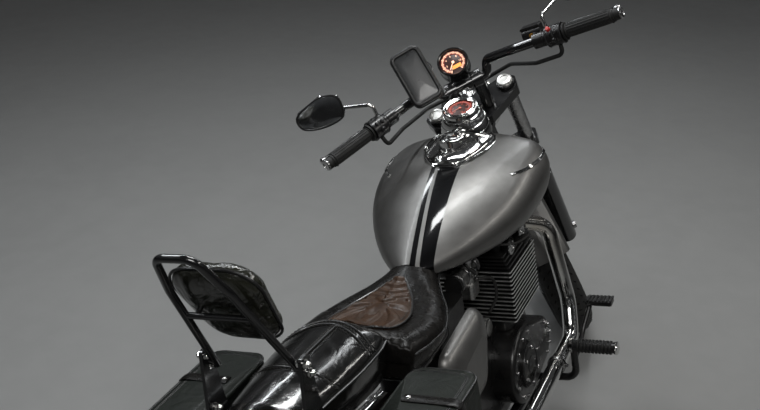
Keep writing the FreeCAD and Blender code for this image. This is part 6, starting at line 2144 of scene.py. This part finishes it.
@dataclass
class WheelTrim:
    """Tread, sidewall rings and valve of one wheel."""

    name: str
    body: Body
    centre: Vector
    outer: float
    width: float
    shoulder: float
    shoulder_half: float
    bead: float
    grooves: int = 64

    def crown(self, y: float) -> float:
        """The tyre's radius at y.

        Args:
            y: Where across the tyre.

        Returns:
            The radius.
        """
        rise = self.outer - self.shoulder
        radius = (self.shoulder_half**2 + rise * rise) / (2 * rise)
        return self.outer - radius + sqrt(max(0.0, radius * radius - y * y))

    def build(self) -> None:
        """Makes the wheel's trim."""
        self.tread()
        self.rings()
        self.valve()

    def tread(self) -> None:
        """Sloped grooves round the tyre."""
        outline = [(-2.0, -15, 0), (2.0, -15, 0), (2.6, 0, 0), (2.0, 15, 0), (-2.0, 15, 0), (-1.4, 0, 0)]
        scale, gap = self.shoulder_half / 76, tau / self.grooves
        rows = [(side, *row) for side in (1, -1) for row in ((0.30, 0.5, 0.0), (0.74, 0.9, 0.5))]
        spots = []
        for i in range(self.grooves):
            for side, share, lean, shift in rows:
                a = gap * (i + shift + (0.25 if side > 0 else 0))
                out, ahead = swung(AHEAD, UP, a), swung(UP, -AHEAD, a)
                y = side * share * self.shoulder_half
                normal = (out + LEFT * (y / (self.outer - self.shoulder + 30) * 0.42)).normalized()
                point = self.centre + out * (self.crown(y) - 0.35) + LEFT * y
                spots.append(Spot(point, normal, swung(LEFT * side, ahead, lean), (1, scale, 1)))
        REPEAT(f"{self.name}_tread", Form().slab(outline, (0, 0, 0.6), 0.2), spots, TREAD, self.body)

    def rings(self) -> None:
        """The fine rings of the tyre's sidewalls."""
        rings = Form()
        for side in (1, -1):
            for share in (0.3, 0.42, 0.8):
                y = side * (self.width / 2 - 0.6 - 5.5 * abs(share - 0.62) ** 1.5 * 4)
                radius = self.bead + (self.shoulder - self.bead) * share
                rings.hoop(self.centre + LEFT * y, LEFT, radius, 0.9, 5, 72)
        piece(f"{self.name}_rings", rings, TYRE, self.body)

    def valve(self) -> None:
        """The tyre valve, out of the rim's inside."""
        out = swung(AHEAD, UP, radians(118))
        foot = self.centre + out * (self.bead - 18) - LEFT * 10
        profile = [(0, 0), (5.5, 0), (5.5, 3), (3.6, 6), (3.6, 22), (4.4, 24), (4.4, 32), (0, 33)]
        piece(f"{self.name}_valve", Form().turned(profile, foot, -out, 12), RUBBER, self.body)


@dataclass
class DriveTrim:
    """Chain plates and rollers, and the bolts of the sprocket and the discs."""

    chain_y: float = 102.0
    link_gap: float = 15.6
    rear_radius: float = 101.0
    front_radius: float = 36.0
    front_centre: Flat = (ENGINE_X - 197.0, 322.0)

    def chain_path(self) -> list[tuple[Vector, Vector]]:
        """The chain's line round both sprockets: points and outward directions.

        Returns:
            The points and directions, the first again at the end.
        """
        x, z = self.front_centre
        gap = hypot(x, z - REAR_RADIUS)
        lean = asin((self.rear_radius - self.front_radius) / gap)
        base = atan2(z - REAR_RADIUS, x)
        upper, lower = base + pi / 2 - lean, base - pi / 2 + lean
        steps, path = 40, []
        for centre, radius, start, sweep in (
            ((0.0, self.chain_y, REAR_RADIUS), self.rear_radius, upper, tau - (upper - lower)),
            ((x, self.chain_y, z), self.front_radius, lower, upper - lower),
        ):
            outs = [swung(AHEAD, UP, start + sweep * i / steps) for i in range(steps + 1)]
            path += [(Vector(centre) + out * radius, out) for out in outs]
        return path + path[:1]

    def link(self) -> Form:
        """Two plates on their pins.

        Returns:
            The form, lying along x.
        """
        link = Form()
        turns = [tau * i / 10 for i in range(10)]
        for side in (-1, 1):
            ring = [(7.8 * cos(a) * (0.62 if abs(cos(a)) < 0.4 else 1), side * 5.2, 4.6 * sin(a))
                    for a in turns]
            link.slab(ring, (0, 1.3 * side, 0), 0.4)
        for x in (-3.9, 3.9):
            link.turned([(0, -7.4), (2.6, -7.4), (2.6, 7.4), (0, 7.4)], (x, 0, 0), LEFT, 6)
        return link

    def build(self) -> None:
        """Makes the drive's trim."""
        path, spots, carried = self.chain_path(), [], 0.0
        for (a, out_a), (b, out_b) in zip(path, path[1:]):
            length = (b - a).length
            while carried < length:
                t = carried / max(1e-6, length)
                spots.append(Spot(a.lerp(b, t), out_a.lerp(out_b, t).normalized(), LEFT))
                carried += self.link_gap
            carried -= length
        REPEAT("chain_links", self.link(), spots, STEEL_DARK)
        for name, bolt, body, centre, y in (
            ("sprocket_bolts", hex_bolt(6, 6), Body.REAR_WHEEL, REAR_AXLE, 105.6),
            ("rear_disc_bolts", socket_bolt(5, 4), Body.REAR_WHEEL, REAR_AXLE, -92.6),
            ("front_disc_bolts", socket_bolt(5, 4), Body.FRONT_WHEEL, FRONT_AXLE, 56.6),
        ):
            REPEAT(name, bolt, circle_spots(centre + LEFT * y, (0, copysign(1, y), 0), 52, 5), STEEL, body)


@dataclass
class ControlsTrim:
    """Rubber rings and chrome ends on the pegs, and the pedal's and lever's rubbers."""

    peg_x: float = ENGINE_X + 73
    peg_z: float = 296.0
    arm_y: float = 248.0
    pillion_peg_x: float = ENGINE_X - 577

    def build(self) -> None:
        """Makes the rubbers."""
        x, y, z = self.peg_x, self.arm_y, self.peg_z
        rings, ends, ribs = Form(), Form(), Form()
        profile = [(15.0, 0), (18.4, 0.6), (18.8, 2.0), (18.8, 4.4), (18.4, 5.8), (15.0, 6.4)]
        for k in range(10):
            rings.turned(profile, (x, y + 12 + k * 9.6, z), LEFT, 24)
        ends.turned([(0, 0), (17.6, 0), (18.2, 2), (17, 5.5), (9, 7.5), (0, 8)], (x, y + 116, z), LEFT, 28)
        ends.turned([(18, 0), (19.6, 1), (19.6, 8), (18, 9)], (x, y - 9, z), LEFT, 28)
        for k in range(6):
            place = (self.pillion_peg_x, 202 + k * 12, 372)
            rings.turned([(14, 0), (16.4, 0.6), (16.4, 5.6), (14, 6.2)], place, LEFT, 20)
        piece("peg_rubbers", rings.mirrored(), RUBBER)
        piece("peg_ends", ends.mirrored(), CHROME)
        for right in (-(y + 13 + k * 10.6) for k in range(7)):
            outline = [(x + 120, right, 368), (x + 156, right, 368), (x + 156, right - 6, 368),
                       (x + 120, right - 6, 368)]
            ribs.slab(outline, (0, 0, 3.2), 1.2)
        for k in range(6):
            ribs.turned([(11, 0), (13, 0.5), (13, 5), (11, 5.5)], (x + 138, y + 14 + k * 10.5, 354), LEFT, 18)
        piece("pedal_rubbers", ribs, RUBBER)


@dataclass
class Lamps:
    """Lenses and rims of the headlamp, tail lamp and indicators, and the blank plate's face."""

    head: Vector = field(default_factory=lambda: fork_point(930, 176))
    tail: Point = (-372, 0, 512)
    indicators: Sequence[Point] = ((-262, 214, 604), (-196, 214, 604))
    plate_x: float = -384.2

    def build(self) -> None:
        """Makes the lamps' trim."""
        lens = [(80, 20), (82, 24), (76, 29.5), (60, 34.5), (38, 38), (0, 39.5)]
        piece("headlamp_lens", Form().turned(lens, self.head, AHEAD, 48), LENS_CLEAR, Body.FORK)
        piece("headlamp_rim", Form().hoop(self.head + AHEAD * 19, AHEAD, 86, 4.4, 10, 56), CHROME, Body.FORK)
        axis = unit((-72, 0, 4))
        lens = [(41, -14), (41.5, 0), (40, 5), (32, 8.5), (18, 9.8), (0, 10)]
        piece("tail_lens", Form().turned(lens, self.tail, axis, 40), LENS_RED)
        rim = [(44.2, -16), (46.4, -14), (46.6, -3), (44.8, 1.6), (41.6, 1.6)]
        piece("tail_rim", Form().turned(rim, self.tail, axis, 40), CHROME)
        amber, rims = Form(), Form()
        lens = [(22, -3), (22.6, 0), (20.5, 4.4), (12, 7), (0, 7.8)]
        rim = [(26.2, -8), (27.4, -7), (27.4, -1.5), (25, 0.6), (22.4, 0.6)]
        for side in (False, True):
            for point, out in zip(self.indicators, (-AHEAD, AHEAD)):
                amber.turned(lens, across(point) if side else point, out, 28)
                rims.turned(rim, across(point) if side else point, out, 28)
        piece("indicator_lenses", amber, LENS_AMBER)
        piece("indicator_rims", rims, CHROME)
        self.plate(self.plate_x)

    def plate(self, x: float) -> None:
        """The blank plate's face, border and screws.

        Args:
            x: Where the plate's rear side is.
        """
        face = [(x, 92 * a, 360 + 57 * b) for a, b in SQUARE]
        piece("plate_face", Form().slab(face, (-1.2, 0, 0), 0.5), PLATE_PALE)
        border = [(x - 1, 95 * a, 360 + 60 * b) for a, b in SQUARE]
        piece("plate_border", Form().pipe(border, 1.8, 6, closed=True), PLASTIC)
        REPEAT("plate_screws", socket_bolt(4, 3), [Spot((x - 1.2, y, 404), -AHEAD) for y in (-60, 60)], STEEL)


@dataclass
class StandTrim:
    """The side stand's return spring."""

    pivot: Point = (ENGINE_X - 275, 158.0, 205.0)
    turns: int = 15
    coil_radius: float = 6.0

    def build(self) -> None:
        """Makes the spring along the stand's leg."""
        low, high = Vector(self.pivot) + Vector((42, 62, -66)), Vector(self.pivot) + Vector((6, 24, -8))
        along, length = (high - low).normalized(), (high - low).length
        side, up = square(along)
        coil = []
        for t in (i / (self.turns * 10) for i in range(self.turns * 10 + 1)):
            out = swung(side, up, tau * self.turns * t)
            coil.append(low + along * (12 + (length - 24) * t) + out * self.coil_radius)
        piece("stand_spring", Form().pipe(coil, 1.3, 6), STEEL, Body.STAND)


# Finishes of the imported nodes

NODE_FINISH: dict[str, Finish] = {
    "main_frame": PAINT_BLACK, "swingarm": PAINT_BLACK, "shocks": CHROME_DULL, "crankcase": COVER_BLACK,
    "engine_covers": COVER_BLACK, "cylinder_head": FIN_BLACK, "silencers": CHROME,
    "side_covers": PAINT_SILVER, "tank_console": CHROME, "rider_seat": LEATHER, "pillion_seat": VINYL,
    "rear_fender": PAINT_SILVER, "rear_lamps": PLASTIC, "sissy_bar": PAINT_BLACK, "backrest_pad": VINYL,
    "saddlebag_left": LEATHER_MATT, "saddlebag_right": LEATHER_MATT, "bag_lid_left": LEATHER_MATT,
    "bag_lid_right": LEATHER_MATT, "footpegs": COVER_BLACK, "foot_controls": COVER_BLACK, "chain": STEEL_DARK,
    "chain_guard": PAINT_BLACK, "rear_axle": STEEL, "rear_caliper": ALLOY_DARK, "side_stand": PAINT_BLACK,
    "rear_tyre": TYRE, "rear_rim": PAINT_BLACK, "rear_discs": DISC_STEEL,
}
STEERED_FINISH: dict[str, Finish] = {
    "front_tyre": TYRE, "front_rim": PAINT_BLACK, "front_disc": DISC_STEEL, "front_axle": STEEL,
    "fork_tubes": CHROME_DULL, "fork_sliders": PAINT_BLACK, "yokes": PAINT_BLACK, "handlebar": PAINT_BLACK,
    "grips": RUBBER, "hand_controls": COVER_BLACK, "mirrors": CHROME, "headlamp": CHROME,
    "speedometer": PAINT_BLACK, "phone_holder": PLASTIC, "front_fender": PAINT_SILVER,
    "front_caliper": ALLOY_DARK, "cables": RUBBER,
}
NODE_PAINT = {"fuel_tank": tank_paint, "cylinders": fins_edged, "headers": chrome_heated,
              "intake": intake_cast}


def finish_nodes(nodes: dict[str, bpy.types.Object]) -> None:
    """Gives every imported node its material.

    Args:
        nodes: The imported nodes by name.
    """
    for name, obj in nodes.items():
        steered = name in STEERED_FINISH
        finish = (STEERED_FINISH if steered else NODE_FINISH).get(name, PAINT_BLACK)
        material = NODE_PAINT[name]() if name in NODE_PAINT else PALETTE.get(finish, steered)
        obj.data.materials.clear()
        obj.data.materials.append(material)


# Stage


@dataclass
class Stage:
    """Floor, lamps, backdrop colour and camera."""

    position: Point = (-2.10009, -0.78424, 1.88334)
    forward: Point = (0.824243, 0.365075, -0.432831)
    up: Point = (0.395383, 0.176113, 0.901475)
    lens: float = 48.875
    sensor: float = 36.0
    target: Point = (0.2, 0.0, 0.6)
    floor_half: float = 9.0

    def build(self) -> None:
        """Sets the stage."""
        self.camera()
        self.floor()
        self.lamps()
        self.world()
        bpy.context.scene.view_settings.view_transform = "Standard"

    def camera(self) -> None:
        """The camera that took the photograph, as fitted to it."""
        data = bpy.data.cameras.new("camera")
        data.lens, data.sensor_width = self.lens, self.sensor
        obj = show("camera", data)
        back, up = -unit(self.forward), unit(self.up)
        basis = Matrix((up.cross(back), up, back)).transposed().to_4x4()
        obj.matrix_world = Matrix.Translation(self.position) @ basis
        bpy.context.scene.camera = obj

    def floor(self) -> None:
        """A wide plain floor, faintly mottled."""
        mesh = bpy.data.meshes.new("floor")
        points = [(self.floor_half * x, self.floor_half * y, 0) for x, y in SQUARE]
        mesh.from_pydata(points, [], [(0, 1, 2, 3)])
        obj = show("floor", mesh)
        obj.data.materials.append(PALETTE.get(FLOOR_PALE))
        obj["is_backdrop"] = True

    def lamps(self) -> None:
        """Long overhead lamps, as in a parking hall, and a soft one from behind the camera."""
        for name, place, size, power, colour in (
            ("strip_left", (0.6, 2.2, 3.0), (3.6, 0.16), 44, (0.93, 0.97, 1.0)),
            ("strip_right", (0.9, -1.9, 2.8), (3.6, 0.16), 25, (1.0, 0.98, 0.94)),
            ("strip_ahead", (2.6, 0.3, 3.0), (0.18, 3.2), 16, (0.95, 0.98, 1.0)),
            ("strip_over", (0.55, 0.3, 3.0), (1.1, 0.3), 34, (0.98, 1.0, 1.0)),
            ("soft_behind", (-2.3, -0.9, 3.1), (1.4, 0.7), 40, (1.0, 0.99, 0.97)),
        ):
            data = bpy.data.lights.new(name, "AREA")
            data.shape, data.size, data.size_y = "RECTANGLE", size[0], size[1]
            data.energy, data.color = power, colour
            obj = show(name, data)
            obj.rotation_euler = (Vector(self.target) - Vector(place)).to_track_quat("-Z", "Y").to_euler()
            obj.location = place

    def world(self) -> None:
        """A dim hall with rows of tube lamps overhead, darker below, for the chrome to mirror."""
        world = bpy.data.worlds.new("hall")
        world.use_nodes = True
        add = Nodes(world.node_tree)
        calc = add.calc
        parts = add.parts(add("ShaderNodeTexCoord").outputs["Generated"])
        height = calc("MAXIMUM", parts["Z"], 0.1)
        ramp = add("ShaderNodeValToRGB", {0: parts["Z"]})
        ramp.color_ramp.elements[0].color = (0.01, 0.01, 0.01, 1)
        ramp.color_ramp.elements[1].color = (0.045, 0.046, 0.048, 1)
        ramp.color_ramp.elements.new(0.12).color = (0.04, 0.041, 0.042, 1)
        lit = calc("GREATER_THAN", parts["Z"], 0.16)
        for axis, rows, share in (("Y", 0.8, 0.045), ("X", 0.55, 0.7)):
            place = calc("FRACT", calc("MULTIPLY", calc("DIVIDE", parts[axis], height), rows))
            lit = calc("MULTIPLY", lit, calc("LESS_THAN", place, share))
        background = next(node for node in add.tree.nodes if node.type == "BACKGROUND")
        add.fill(background.inputs["Color"], add.mix(lit, ramp.outputs[0], TUBE_LIGHT))
        bpy.context.scene.world = world


def write_sizes(when: str, sizes: dict[str, list[list[float]]]) -> None:
    """Args:
        when: The state that is noted, packed or dressed.
        sizes: The bounds noted so far, which it adds to.
    """
    low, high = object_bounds()
    sizes[when] = [list(low), list(high)]
    LOG.info("%s %s", when, sizes[when])


def main() -> None:
    """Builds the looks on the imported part."""
    global PALETTE, REPEAT
    logging.basicConfig(level=logging.INFO, format="%(message)s")
    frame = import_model()
    sizes: dict[str, list[list[float]]] = {}
    write_sizes("packed", sizes)
    PALETTE, REPEAT = Palette(), Repeater()
    finish_nodes(frame["nodes"])
    for part in (
        RiderSeat(), PillionSeat(), Backrest(), Saddlebags(), TankTrim(), Cockpit(), EngineTrim(),
        DriveTrim(), ControlsTrim(), Lamps(), StandTrim(),
        WheelTrim("rear_tyre", Body.REAR_WHEEL, REAR_AXLE, 326, 168, 285, 76, 196),
        WheelTrim("front_tyre", Body.FRONT_WHEEL, FRONT_AXLE, 322, 112, 292, 50, 232),
        Stage(), ExhaustTrim(),
    ):
        part.build()
        LOG.info("built %s", type(part).__name__)
    write_sizes("dressed", sizes)


if __name__ == "__main__":
    main()
